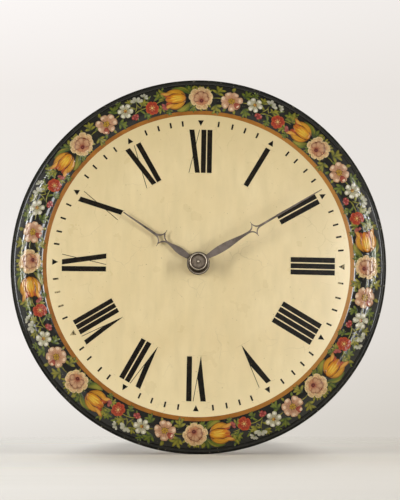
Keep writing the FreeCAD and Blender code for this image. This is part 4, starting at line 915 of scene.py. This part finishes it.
def tulip(base):
    """A yellow tulip on its side: round base clockwise, three petals, and at the mouth the orange-red
    inside between the side petals' flaring tips."""
    s, t = base
    rows = [
        dab(
            (s + 0.6, t), (s - 16.5, t), 6.3, "#2c1d0c", "#3a1c0c", "#241a0c", point=0.8, taper=0.1,
            lift=0.08, rise=0.04
        )
    ]
    for side in (-1, 1):
        inside = (s - 17.0 + rng.normal(0, 0.3), t + side * 4.0)
        rows.append(
            dab(
                (s - 8, t + side * 2.6), inside, 2.5, "#a03a16", "#bf4a1c", "#7e2a10", point=1.0,
                lift=0.15
            )
        )
        tip = (s - 19.0 + rng.normal(0, 0.4), t + side * (7.3 + rng.normal(0, 0.4)))
        rows.append(
            dab(
                (s - 8.5, t + side * 5.0), tip, 1.7, "#dc941e", "#f4bc58", "#b4641a", point=1.15,
                bow=0.1 * side, lift=0.2
            )
        )
        rows.append(
            dab(
                (s - 0.2, t + side * 1.4), (s - 15.4, t + side * 5.8), 2.5, "#d4920e", "#eeac2c",
                "#965410", point=1.05, bow=-0.15 * side, lift=0.25
            )
        )
    mouth = (s - 16.6, t + rng.normal(0, 0.4))
    rows.append(
        dab(
            (s + 0.2, t), mouth, 4.6, "#6a300c", "#6a240c", "#4c1f0a", point=0.95, taper=-0.12,
            lift=0.33, rise=0.1
        )
    )
    rows.append(
        dab(
            (s, t), mouth, 4.0, "#eeb014", "#e28816", "#c8760e", point=0.95, taper=-0.12, lift=0.37,
            rise=0.17
        )
    )
    for offset, width, reach in ((-1.5, 0.7, -11.6), (0.3, 0.9, -13.0), (1.8, 0.6, -10.8)):
        start, end = (s - 2.6, t + offset * 0.7), (s + reach, t + offset * 1.3)
        rows.append(
            dab(start, end, width, "#f0c034", "#f8c844", "#e8b02a", point=1.2, lift=0.52, rise=0.05)
        )
    for offset in (-2.9, 0.9, 3.1):
        start, end = (s - 11.5, t + offset * 0.9), (s - 16.0, t + offset)
        rows.append(
            dab(start, end, 0.6, "#cf6a1c", "#b9441a", "#c05a1c", point=1.2, lift=0.52, rise=0.04)
        )
    return rows


def tulip_petals_below(mouth):
    """Small pink-red petals under the tulip's mouth."""
    rows = []
    for degrees in (150, 195, 240, 285):
        end = polar_point(mouth, 3.4, degrees + rng.normal(0, 8))
        rows.append(
            dab(mouth, end, 1.05, "#8c2e28", "#c9705f", "#8c2e28", point=0.9, taper=0.3, lift=0.14)
        )
    return rows


LEAF_TONES = (
    ("#1f2f0e", "#4a6419", "#16220a"),
    ("#43560f", "#90982c", "#2d3f0c"),
    ("#62650f", "#beb23c", "#4a4c0c"),
)


def leaf(start, end, width, tone, bow=0.0, lift=0.06, point=1.25):
    """One pointed dab in a green: its tones are dark, middle and light."""
    return dab(start, end, width, *LEAF_TONES[tone], point=point, bow=bow, lift=lift, rise=0.1)


def feather_leaf(start, degrees, size, tone):
    """A leaf of stubby pointed leaflets: one ahead, and two pairs to its sides."""
    end = polar_point(start, size, degrees)
    rows = [
        leaf(
            polar_point(start, -0.8, degrees), polar_point(start, size * 0.85, degrees), size * 0.34, 0,
            lift=0.02
        )
    ]
    for at, angle, reach in ((0.05, 72, 0.62), (0.28, 44, 0.7)):
        for side in (-1, 1):
            root = polar_point(start, size * at, degrees)
            turn = degrees + side * (angle + rng.normal(0, 6))
            lift = 0.06 + rng.uniform(0, 0.03)
            tip = polar_point(root, size * reach * rng.uniform(0.9, 1.1), turn)
            rows.append(leaf(root, tip, size * 0.145, tone, bow=-0.08 * side, lift=lift))
    rows.append(leaf(start, end, size * 0.15, tone, lift=0.1))
    rows.append(stem(start, polar_point(start, size * 0.75, degrees), 0.0, 2, size * 0.03))
    return rows


def stem(start, end, bow=0.1, tone=2, width=0.42):
    """One thin drawn line in a green."""
    return dab(start, end, width, *LEAF_TONES[tone], point=0.7, bow=bow, lift=0.1, rise=0.08)


# Feather leaves of one repeat: place from the rose, direction, size and tone
FEATHERS = (
    (12.4, 4.2, 66, 8.4, 2),
    (12.6, -4.2, -72, 8.0, 2),
    (33.6, 5.2, 58, 7.6, 1),
    (35.4, -3.4, -52, 7.4, 1),
    (41.0, 8.0, 84, 5.2, 1),
    (49.4, 5.2, 96, 6.0, 2),
    (58.2, 1.6, 62, 6.6, 2),
    (56.8, -5.6, -70, 5.6, 1),
    (74.6, 3.4, 148, 7.8, 1),
    (75.4, 1.8, 108, 6.6, 2),
    (73.2, -4.6, -150, 6.4, 2),
    (77.0, -6.6, -96, 5.2, 1),
    (95.2, 4.6, 96, 8.0, 0),
    (98.6, -5.2, -84, 5.8, 1),
)

# Single leaves: both ends, half width, tone and bend
LEAVES = (
    (24.6, 7.6, 25.4, 12.4, 1.4, 2, 0.12),
    (28.2, -6.0, 29.0, -9.8, 1.2, 2, -0.1),
    (20.4, -5.4, 18.6, -9.2, 1.3, 1, 0.1),
    (45.6, -2.8, 51.0, -9.0, 1.2, 1, 0.1),
    (97.4, 3.0, 82.2, 9.8, 1.9, 1, -0.12),
    (96.8, 4.2, 87.0, 11.0, 1.1, 2, -0.1),
    (97.0, -2.6, 84.0, -9.0, 2.1, 2, 0.14),
    (96.6, -5.0, 89.2, -9.6, 1.7, 1, 0.12),
    (97.4, 5.4, 95.6, 12.0, 1.4, 1, 0.1),
    (98.8, 6.0, 100.4, 11.4, 1.6, 2, 0.1),
    (78.0, 7.2, 73.2, 12.2, 1.5, 2, 0.26),
    (74.0, 9.6, 76.4, 12.8, 0.9, 1, -0.2),
    (57.0, 1.2, 62.4, 3.6, 1.1, 2, 0.1),
    (52.4, 0.6, 48.0, 4.2, 1.0, 2, 0.1),
    (53.6, -1.4, 58.0, -6.6, 1.0, 1, 0.1),
    (70.2, 2.8, 73.2, 7.6, 1.0, 2, 0.1),
    (62.2, 3.4, 66.4, 7.6, 1.0, 1, 0.1),
    (15.0, 0.4, 19.4, 2.4, 1.0, 1, 0.1),
    (95.8, 0.4, 99.8, 3.6, 1.2, 0, 0.1),
)

# Stems: both ends and bend
STEMS = (
    (54.0, 6.0, 50.2, -1.6, 0.12),
    (53.6, 5.6, 56.4, -0.6, -0.1),
    (60.8, 7.6, 55.0, 0.0, 0.1),
    (63.8, -2.6, 51.4, -2.6, -0.1),
    (66.6, -1.6, 76.0, 0.8, 0.1),
    (66.0, 1.0, 60.4, 4.8, 0.1),
    (48.0, -5.0, 55.0, -1.4, 0.12),
    (94.6, 0.8, 98.6, 0.6, 0.0),
    (9.0, 0.2, 18.0, 0.4, 0.08),
    (33.0, 0.6, 38.0, 1.6, 0.0),
)
ROSE_FRINGE = (40, 56, 70, 82, 94, 106, 118, 130, 144, -40, -66, -92, -118, -142)


def greenery(middle):
    """All leaves and stems of one repeat; middle(s, t) places a point from its rose."""
    rows = []
    for s, t, degrees, size, tone in FEATHERS:
        at = middle(s + rng.normal(0, 0.5), t + rng.normal(0, 0.35))
        rows += feather_leaf(at, degrees + rng.normal(0, 7), size * rng.uniform(0.92, 1.1), tone)
    for s0, t0, s1, t1, width, tone, bow in LEAVES:
        rows.append(
            leaf(middle(s0, t0), middle(s1, t1), width * rng.uniform(0.9, 1.1), tone, bow, 0.12)
        )
    for degrees in ROSE_FRINGE:
        reach = 12.0 if degrees > 0 else 10.8
        turn = degrees + rng.normal(0, 4)
        start = polar_point(middle(0, 0), 7.4, turn, 0.9)
        end = polar_point(middle(0, 0), reach * rng.uniform(0.93, 1.07), turn, 0.95)
        rows.append(leaf(start, end, 0.95, 2, lift=0.05))
    for s0, t0, s1, t1, bow in STEMS:
        rows.append(stem(middle(s0, t0), middle(s1, t1), bow))
    return rows


def garland_rows(repeats):
    """Every dab of the garland by kind, repeated round the border with small differences."""
    kinds = {
        "leaves": [], "roses": [], "pink_daisies": [], "white_daisies": [], "red_flowers": [],
        "tulips": []
    }
    span = 2 * math.pi * GARLAND_RADIUS / repeats
    for repeat in range(repeats):

        def middle(s, t, repeat=repeat):
            return repeat * span + s, t

        def near(s, t, middle=middle):
            return middle(s + rng.normal(0, 0.5), t + rng.normal(0, 0.3))

        kinds["leaves"] += greenery(middle)
        kinds["roses"] += rose(middle(0, rng.normal(0, 0.25)))
        kinds["pink_daisies"] += pink_daisy(near(25.0, 0.2))
        kinds["white_daisies"] += white_daisy(near(42.8, 2.2))
        kinds["white_daisies"] += white_sprig(near(54.5, 7.6), 4.2, 70)
        kinds["white_daisies"] += white_sprig(near(61.3, 8.9), 2.9, 40)
        kinds["red_flowers"] += red_bud(near(48.6, -5.6))
        kinds["red_flowers"] += red_flower(near(64.8, -2.8))
        kinds["tulips"] += tulip(near(93.4, 0.7))
        kinds["tulips"] += tulip_petals_below(near(74.6, -3.6))
    return kinds


SHIELD_SEGMENTS = 256


def shield_board(materials):
    """The turned board: the section (radius, thickness) carried once round the hand axis. materials
    are the cream, ochre and black paints of the front by radius, then the bare wood of the back."""
    radius, thickness = FRONT
    back_radius = [SHIELD_RADIUS, SHIELD_RADIUS - BACK_CHAMFER, SHIELD_RADIUS * 0.5, HOLE_RADIUS]
    radius = np.concatenate([radius, back_radius])
    thickness = np.concatenate([thickness, [BACK_CHAMFER, 0, 0, 0]])
    points, faces = turned_ring(radius, SHIELD_BACK - thickness, SHIELD_SEGMENTS)
    piece = mesh_piece("painted_shield", points, [faces], "case", ["shield"])
    middle = (radius + np.roll(radius, -1)) / 2
    zone = np.where(middle < CREAM_RADIUS, 0, np.where(middle < BORDER_RADIUS, 1, 2))
    zone[len(FRONT[0]) + 1 :] = 3
    piece.data.polygons.foreach_set("material_index", np.repeat(zone, SHIELD_SEGMENTS))
    for material in materials:
        piece.data.materials.append(material)
    piece.data.set_sharp_from_angle(angle=math.radians(24))
    return piece


# Nodes that keep their CAD mesh, by material slot
BRASS_NODES = (
    "front_bushes", "back_bushes", "great_wheel", "ratchet_wheel", "second_wheel", "escape_wheel",
    "drive_wheel", "cannon_wheel", "minute_wheel", "hour_wheel", "hour_pipe", "drive_spring",
    "pendulum_bob", "rating_nut",
)
IRON_NODES = (
    "hanger_plate", "hanger_screws", "back_board_nails", "left_door_pins", "right_door_pins",
    "crutch", "suspension_cock", "pendulum_rod", "cock_screw",
)
STEEL_NODES = (
    "great_arbor", "second_arbor", "second_pinion", "escape_arbor", "escape_pinion", "anchor_arbor",
    "anchor", "cannon_pinion", "minute_wheel_stud", "minute_wheel_pinion", "click",
    "click_screw", "click_spring",
)
BEECH_NODES = (
    "front_left_post", "front_right_post", "rear_left_post", "rear_right_post", "front_strip",
    "back_strip", "left_door_knob", "right_door_knob", "shield_pins", "sprocket",
)
UPRIGHT_BOARDS = ("back_board", "left_door", "right_door")
LEVEL_BOARDS = ("top_board", "bottom_board", "upper_batten", "lower_batten")

# The dial's middle, which the lamps and the camera are placed from, and what the camera aims at
DIAL_MIDDLE = Vector((0, -117.0, AXIS_Z)) * MM
AIM = DIAL_MIDDLE + Vector((1.3, 0.0, 12.0)) * MM
CAMERA_RISE = -5.5
CAMERA_DISTANCE = 1.3

# The floor's radius, number of spokes and rings, and where it begins and ends to thin out, in metres
FLOOR_SPOKES = 96
FLOOR_RINGS = (0.5, 1.0, 2.0, 4.0)
FLOOR_NEAR, FLOOR_FAR = 0.25, 1.7
# How bright the paper looks beyond its own shade, near the clock and away from it; the dim patch is a
# painted shadow round and behind the clock, an ellipse (middle's y, half width in x, half length in y,
# in metres)
FLOOR_GLOW = (0.1, 0.4)
PAINTED_SHADOW_PATCH = (0.3, 0.1, 0.75)
# Name, azimuth and elevation in degrees, distance, width and height in metres, share of the power,
# and whether only the polished surfaces mirror it
SOFTBOXES = (
    ("left_softbox", -44, 5, 1.3, 0.18, 0.7, 1.0, False),
    ("right_softbox", 44, 4, 1.3, 0.18, 0.7, 0.95, False),
    ("back_light", 180, 38, 1.6, 1.2, 0.8, 0.45, False),
    ("left_strip", -60, 15, 1.3, 0.1, 0.75, 0.9, True),
    ("right_strip", 60, 15, 1.3, 0.1, 0.75, 0.9, True),
    ("front_window", 24, 1, 1.6, 0.3, 0.6, 0.75, True),
)
# The backdrop's tone from 2 degrees below the horizon to 16 above it
BACKDROP = (
    (0.0, "#eae6e0"), (0.1, "#e6e2dc"), (0.17, "#f0ece7"), (0.28, "#f6f1ed"), (0.53, "#eeeae6"),
    (0.75, "#f1ece8"), (0.94, "#fdf9f7"),
)


def aimed(name, data, azimuth, elevation, distance, target):
    """Put a lamp or a camera that far from the dial's middle, turned to the right by azimuth and up
    by elevation, in degrees, and turn it to a target."""
    a, e = math.radians(azimuth), math.radians(elevation)
    way = Vector((math.sin(a) * math.cos(e), -math.cos(a) * math.cos(e), math.sin(e)))
    thing = bpy.data.objects.new(name, data)
    bpy.context.scene.collection.objects.link(thing)
    thing.location = DIAL_MIDDLE + way * distance
    thing.rotation_euler = (target - thing.location).to_track_quat("-Z", "Y").to_euler()
    return thing


def softbox(name, azimuth, elevation, distance, width, height, power, mirrored_only):
    """A rectangular lamp that no camera sees."""
    light = bpy.data.lights.new(name, "AREA")
    light.shape = "RECTANGLE"
    light.size = width
    light.size_y = height
    light.energy = power
    lamp = aimed(name, light, azimuth, elevation, distance, DIAL_MIDDLE)
    lamp.visible_camera = False
    lamp.visible_diffuse = not mirrored_only


def camera(lens):
    """The photograph's viewpoint, a little below the dial's middle."""
    lens_data = bpy.data.cameras.new("camera")
    lens_data.lens = lens
    lens_data.sensor_width = 36
    lens_data.clip_start = 0.05
    lens_data.clip_end = 100
    bpy.context.scene.camera = aimed("camera", lens_data, 0, CAMERA_RISE, CAMERA_DISTANCE, AIM)


def seen_rays(tree):
    """1 for rays that show a surface to the eye, straight, mirrored or through glass, else 0."""
    rays = add(tree, "LightPath").node.outputs
    shown = rays["Is Camera Ray"]
    for kind in ("Is Glossy Ray", "Is Transmission Ray"):
        shown = add(tree, "Math", {"operation": "MAXIMUM", 0: shown, 1: rays[kind]})
    return shown


def warm_paper(tree, place):
    """Warm white paper, slightly creased, with painted shade to the right, a little brighter to the eye
    than as a light source, except in the painted shadow round and behind the clock."""
    creases = add(tree, "Mapping", {"Vector": place, "Scale": (0.2, 1, 1)})
    shade = layer(tree, "#e6e3dc", "#f3f1ec", patches(tree, creases, 50, 3.0))
    # Painted shade: the paper darkens towards the right
    rightward = add(tree, "SeparateXYZ", {0: place}, "X")
    rightward = add(tree, "MapRange", {"Value": rightward, "From Min": -0.15, "From Max": 0.25})
    shade = layer(tree, shade, "#d9d4ca", rightward)
    # Painted shadow: less glow inside the patch round and behind the clock
    middle, width, length = PAINTED_SHADOW_PATCH
    ellipse = {"Location": (0, -middle / length, 0), "Scale": (1 / width, 1 / length, 0)}
    patch = add(tree, "Mapping", {"Vector": place, **ellipse})
    apart = add(tree, "VectorMath", {"operation": "LENGTH", 0: patch}, "Value")
    limits = {"From Min": 0.7, "From Max": 1.35, "To Min": FLOOR_GLOW[0], "To Max": FLOOR_GLOW[1]}
    glow = add(tree, "MapRange", {"interpolation_type": "SMOOTHSTEP", "Value": apart, **limits})
    shown = add(tree, "Math", {"operation": "MULTIPLY", 0: seen_rays(tree), 1: glow})
    return {
        "Base Color": shade,
        "Roughness": 0.8,
        "IOR": 1.3,
        "Emission Color": shade,
        "Emission Strength": shown,
    }


def paper_floor():
    """The floor's paper, which thins out to nothing away from the clock, so that it has no edge."""
    made = new_material("warm_white_paper", warm_paper)
    tree = made.node_tree
    surface = tree.get_output_node("ALL").inputs["Surface"]
    place = add(tree, "TexCoord", (), "Object")
    apart = add(tree, "VectorMath", {"operation": "LENGTH", 0: place}, "Value")
    limits = {"From Min": FLOOR_NEAR, "From Max": FLOOR_FAR}
    fade = add(tree, "MapRange", {"interpolation_type": "SMOOTHSTEP", "Value": apart, **limits})
    clear = add(tree, "BsdfTransparent")
    thinned = {0: fade, 1: surface.links[0].from_socket, 2: clear}
    tree.links.new(add(tree, "MixShader", thinned), surface)
    return made


def floor_disc():
    """A level disc of rings round the point below the clock: x = r sin a, y = r cos a."""
    angle = np.arange(FLOOR_SPOKES) * 2 * math.pi / FLOOR_SPOKES
    rings = np.array(FLOOR_RINGS)[:, None]
    spokes = np.stack([rings * np.sin(angle), rings * np.cos(angle), 0 * rings * angle], axis=-1)
    points = np.concatenate([[[0, 0, 0]], spokes.reshape(-1, 3)])
    points[:, 2] = FLOOR_Z * MM
    j = np.arange(FLOOR_SPOKES)
    fans = np.stack([0 * j, 1 + j, 1 + (j + 1) % FLOOR_SPOKES], axis=-1)[:, ::-1]
    quads = grid_faces(len(FLOOR_RINGS), FLOOR_SPOKES, start=1)[:, ::-1]
    mesh = bpy.data.meshes.new("floor")
    mesh.from_pydata(points.tolist(), [], fans.tolist() + quads.tolist())
    mesh.materials.append(paper_floor())
    floor = bpy.data.objects.new("floor", mesh)
    bpy.context.scene.collection.objects.link(floor)


def room(level):
    """The world: what is seen and mirrored is a pale warm room, darker low on the right, overhead
    and behind the camera; what lights the clock softly has the given level."""
    world = bpy.data.worlds.new("studio")
    world.use_nodes = True
    tree = world.node_tree
    tree.nodes.clear()
    parts = add(tree, "SeparateXYZ", {0: add(tree, "TexCoord", (), "Generated")}).node.outputs
    height = add(tree, "MapRange", {"Value": parts["Z"], "From Min": -0.04, "From Max": 0.28})
    seen = add(tree, "ValToRGB", {"stops": BACKDROP, "Fac": height})
    limits = {"From Min": 0.0, "From Max": 0.12, "To Min": 0.85, "To Max": 0.28}
    low = add(tree, "MapRange", {"Value": parts["Z"], **limits})
    rightward = add(tree, "MapRange", {"Value": parts["X"], "From Min": -0.12, "From Max": 0.16})
    seen = layer(tree, seen, "#cdc7bd", low, rightward)
    for part, start, end, tone in (("Z", 0.4, 0.8, "#7d7a75"), ("Y", -0.2, -0.8, "#918d87")):
        amount = add(tree, "MapRange", {"Value": parts[part], "From Min": start, "From Max": end})
        seen = layer(tree, seen, tone, amount)
    visible = add(tree, "Background", {"Color": seen})
    lighting = add(tree, "Background", {"Color": "#fffaf3", "Strength": level})
    both = add(tree, "MixShader", {0: seen_rays(tree), 1: lighting, 2: visible})
    add(tree, "OutputWorld", {"Surface": both})
    bpy.context.scene.world = world


def size_setting(label, description, size, least, most):
    """A size in millimetres that a user may change."""
    return bpy.props.FloatProperty(
        name=label, description=description + ", in millimetres", default=size, min=least, max=most
    )


def colour_setting(label, description, colour):
    """A colour that a user may change, with its default as a hex value."""
    return bpy.props.FloatVectorProperty(
        name=label, description=description, default=linear(colour), subtype="COLOR", min=0.0, max=1.0
    )


class ClockSettings(bpy.types.PropertyGroup):
    """The sizes, colours and light that a user would change"""

    dial_turn: bpy.props.FloatProperty(
        name="Dial turn",
        description="How far clockwise the painter set the whole dial and garland out",
        default=math.radians(1.0),
        subtype="ANGLE",
        unit="ROTATION",
    )
    garland_repeats: bpy.props.IntProperty(
        name="Garland repeats",
        description="How many times the garland's bunch of flowers repeats round the border",
        default=8,
        min=1,
        max=12,
    )
    paint_height: size_setting(
        "Numeral paint height", "How far the numerals' paint stands out from the dial", 0.08, 0.01, 0.5
    )
    wood_edge: size_setting(
        "Wood edge rounding", "How much the boards' edges are rounded", 0.5, 0.05, 1.5
    )
    metal_edge: size_setting(
        "Hand edge rounding", "How much the hands' edges are filed round", 0.18, 0.02, 0.4
    )
    cream: colour_setting("Cream", "Paint of the dial where it is palest", "#f0dcab")
    ochre: colour_setting("Ochre", "Paint of the band round the dial", "#a66a1f")
    lacquer: colour_setting("Black lacquer", "Lacquer of the border", "#141410")
    lampblack: colour_setting("Numeral black", "Paint of the numerals and the track", "#0d0b06")
    steel: colour_setting("Hand steel", "Metal of the hands where it is bright", "#776d66")
    spruce: colour_setting("Spruce", "Pale wood of the case's boards", "#b98f5a")
    brass: colour_setting("Brass", "Metal of the wheels and the bob where it is bright", "#bf9f5c")
    softbox_power: bpy.props.FloatProperty(
        name="Softbox power",
        description="Power of each front softbox",
        default=7.6,
        min=0.1,
        unit="POWER",
    )
    room_level: bpy.props.FloatProperty(
        name="Room level",
        description="Strength of the soft light from all round",
        default=0.24,
        min=0.0,
    )
    lens: bpy.props.FloatProperty(
        name="Lens",
        description="Focal length of the camera, in millimetres",
        default=117.3,
        min=10.0,
    )


class CLOCK_OT_shield(bpy.types.Operator):
    """Make the turned and painted shield"""

    bl_idname = "clock.shield"
    bl_label = "Shield"

    def execute(self, context):
        settings = context.scene.clock_settings
        cream = new_material("cream_varnished_paint", cream_paint, rgba(settings.cream))
        ochre = new_material("ochre_band_paint", ochre_paint, rgba(settings.ochre))
        black = new_material("black_spirit_lacquer", black_lacquer, rgba(settings.lacquer))
        bare = new_material("bare_spruce_back", solid_wood, "Z", "#b08a56", "#8a6236", 2.4, 0.6)
        shield_board([cream, ochre, black, bare])
        return {"FINISHED"}


class CLOCK_OT_dial(bpy.types.Operator):
    """Paint the numerals, the minute track and the scribed lines"""

    bl_idname = "clock.dial"
    bl_label = "Dial painting"

    def execute(self, context):
        settings = context.scene.clock_settings
        turn, height = settings.dial_turn, settings.paint_height
        black = new_material("lampblack_oil_paint", numeral_paint, rgba(settings.lampblack))
        numerals = []
        for hour, text in enumerate(NUMERALS):
            numerals += numeral_strokes(text, turn + math.radians(30 * hour))[0]
        paint_strokes("painted_numerals", numerals, height, black)
        paint_strokes("painted_minute_track", minute_strokes(turn), height, black)
        scribed = new_material("scribed_line", scribed_line)
        paint_strokes("scribed_lines", setting_out_strokes(turn), height / 4, scribed)
        return {"FINISHED"}


class CLOCK_OT_garland(bpy.types.Operator):
    """Paint the garland of flowers on the border"""

    bl_idname = "clock.garland"
    bl_label = "Garland"

    def execute(self, context):
        settings = context.scene.clock_settings
        paint = new_material("dabbed_oil_paint", flower_paint)
        for kind, rows in garland_rows(settings.garland_repeats).items():
            paint_dabs("garland_" + kind, rows, settings.dial_turn, paint)
        return {"FINISHED"}


class CLOCK_OT_hands(bpy.types.Operator):
    """Make the filed steel hands, their boss and their cap"""

    bl_idname = "clock.hands"
    bl_label = "Hands"

    def execute(self, context):
        settings = context.scene.clock_settings
        edge, steel = settings.metal_edge, rgba(settings.steel)
        blade = new_material("filed_grey_steel", filed_metal, steel, "#4b433d", 0.42, 0.8)
        # The boss, the cap and the arbor's tip carry painted highlights and painted shade in their
        # rings
        boss = new_material("turned_steel_boss", turned_metal_painted_light, BOSS_HIGHLIGHT_AND_SHADE_RINGS)
        cap = new_material("turned_steel_cap", turned_metal_painted_light, CAP_HIGHLIGHT_AND_SHADE_RINGS)
        worked_copy("hour_hand", "_filed", blade, edge)
        worked_copy("minute_hand", "_filed", blade, edge)
        worked_copy("hour_boss", "_turned", boss, edge)
        worked_copy("minute_collet", "_turned", cap, edge)
        finish_nodes(["minute_arbor"], new_material("turned_steel_arbor", turned_metal_painted_light, TIP_HIGHLIGHT_RINGS))
        return {"FINISHED"}


class CLOCK_OT_case(bpy.types.Operator):
    """Make the case's boards with rounded edges and wood grain"""

    bl_idname = "clock.case"
    bl_label = "Case"

    def execute(self, context):
        settings = context.scene.clock_settings
        for name, grain, boards in (
            ("spruce_upright", "Z", UPRIGHT_BOARDS), ("spruce_level", "X", LEVEL_BOARDS)
        ):
            look = (grain, rgba(settings.spruce), "#8f6638", 2.2, 0.55)
            spruce = new_material(name, solid_wood, *look)
            for node in boards:
                worked_copy(node, "_planed", spruce, settings.wood_edge)
        beech = new_material("beech", solid_wood, "Z", "#c39a6b", "#a87b4c", 1.1, 0.5)
        finish_nodes(BEECH_NODES, beech)
        return {"FINISHED"}


class CLOCK_OT_movement(bpy.types.Operator):
    """Give the movement and the fittings their metals"""

    bl_idname = "clock.movement"
    bl_label = "Movement finishes"

    def execute(self, context):
        brass = rgba(context.scene.clock_settings.brass)
        for nodes, name, *look in (
            (BRASS_NODES, "old_cast_brass", brass, "#86703f", 0.32, 0.6),
            (IRON_NODES, "black_wrought_iron", "#5c5650", "#3b352f", 0.5, 1.2),
            (STEEL_NODES, "polished_steel", "#a9a59c", "#77726a", 0.26, 0.5),
        ):
            finish_nodes(nodes, new_material(name, filed_metal, *look))
        return {"FINISHED"}


class CLOCK_OT_stage(bpy.types.Operator):
    """Set up the floor, the lights, the room and the camera of the photograph"""

    bl_idname = "clock.stage"
    bl_label = "Stage"

    def execute(self, context):
        settings = context.scene.clock_settings
        context.scene.view_settings.view_transform = "Standard"
        floor_disc()
        for *place, share, mirrored_only in SOFTBOXES:
            softbox(*place, share * settings.softbox_power, mirrored_only)
        room(settings.room_level)
        camera(settings.lens)
        return {"FINISHED"}


class CLOCK_PT_sidebar(bpy.types.Panel):
    """Settings and steps of the painted shield clock"""

    bl_idname = "CLOCK_PT_sidebar"
    bl_label = "Painted shield clock"
    bl_space_type = "VIEW_3D"
    bl_region_type = "UI"
    bl_category = "Clock"

    def draw(self, context):
        settings = context.scene.clock_settings
        for name in ClockSettings.__annotations__:
            self.layout.prop(settings, name)
        for step in STEPS:
            self.layout.operator(step.bl_idname)


STEPS = (
    CLOCK_OT_shield,
    CLOCK_OT_dial,
    CLOCK_OT_garland,
    CLOCK_OT_hands,
    CLOCK_OT_case,
    CLOCK_OT_movement,
    CLOCK_OT_stage,
)


def register():
    for kind in (ClockSettings, *STEPS, CLOCK_PT_sidebar):
        bpy.utils.register_class(kind)
    bpy.types.Scene.clock_settings = bpy.props.PointerProperty(type=ClockSettings)


def unregister():
    del bpy.types.Scene.clock_settings
    for kind in (CLOCK_PT_sidebar, *reversed(STEPS), ClockSettings):
        bpy.utils.unregister_class(kind)


def main():
    register()
    bpy.ops.clock.shield()
    bpy.ops.clock.dial()
    bpy.ops.clock.garland()
    bpy.ops.clock.hands()
    bpy.ops.clock.case()
    bpy.ops.clock.movement()
    bpy.ops.clock.stage()


if __name__ == "__main__":
    main()
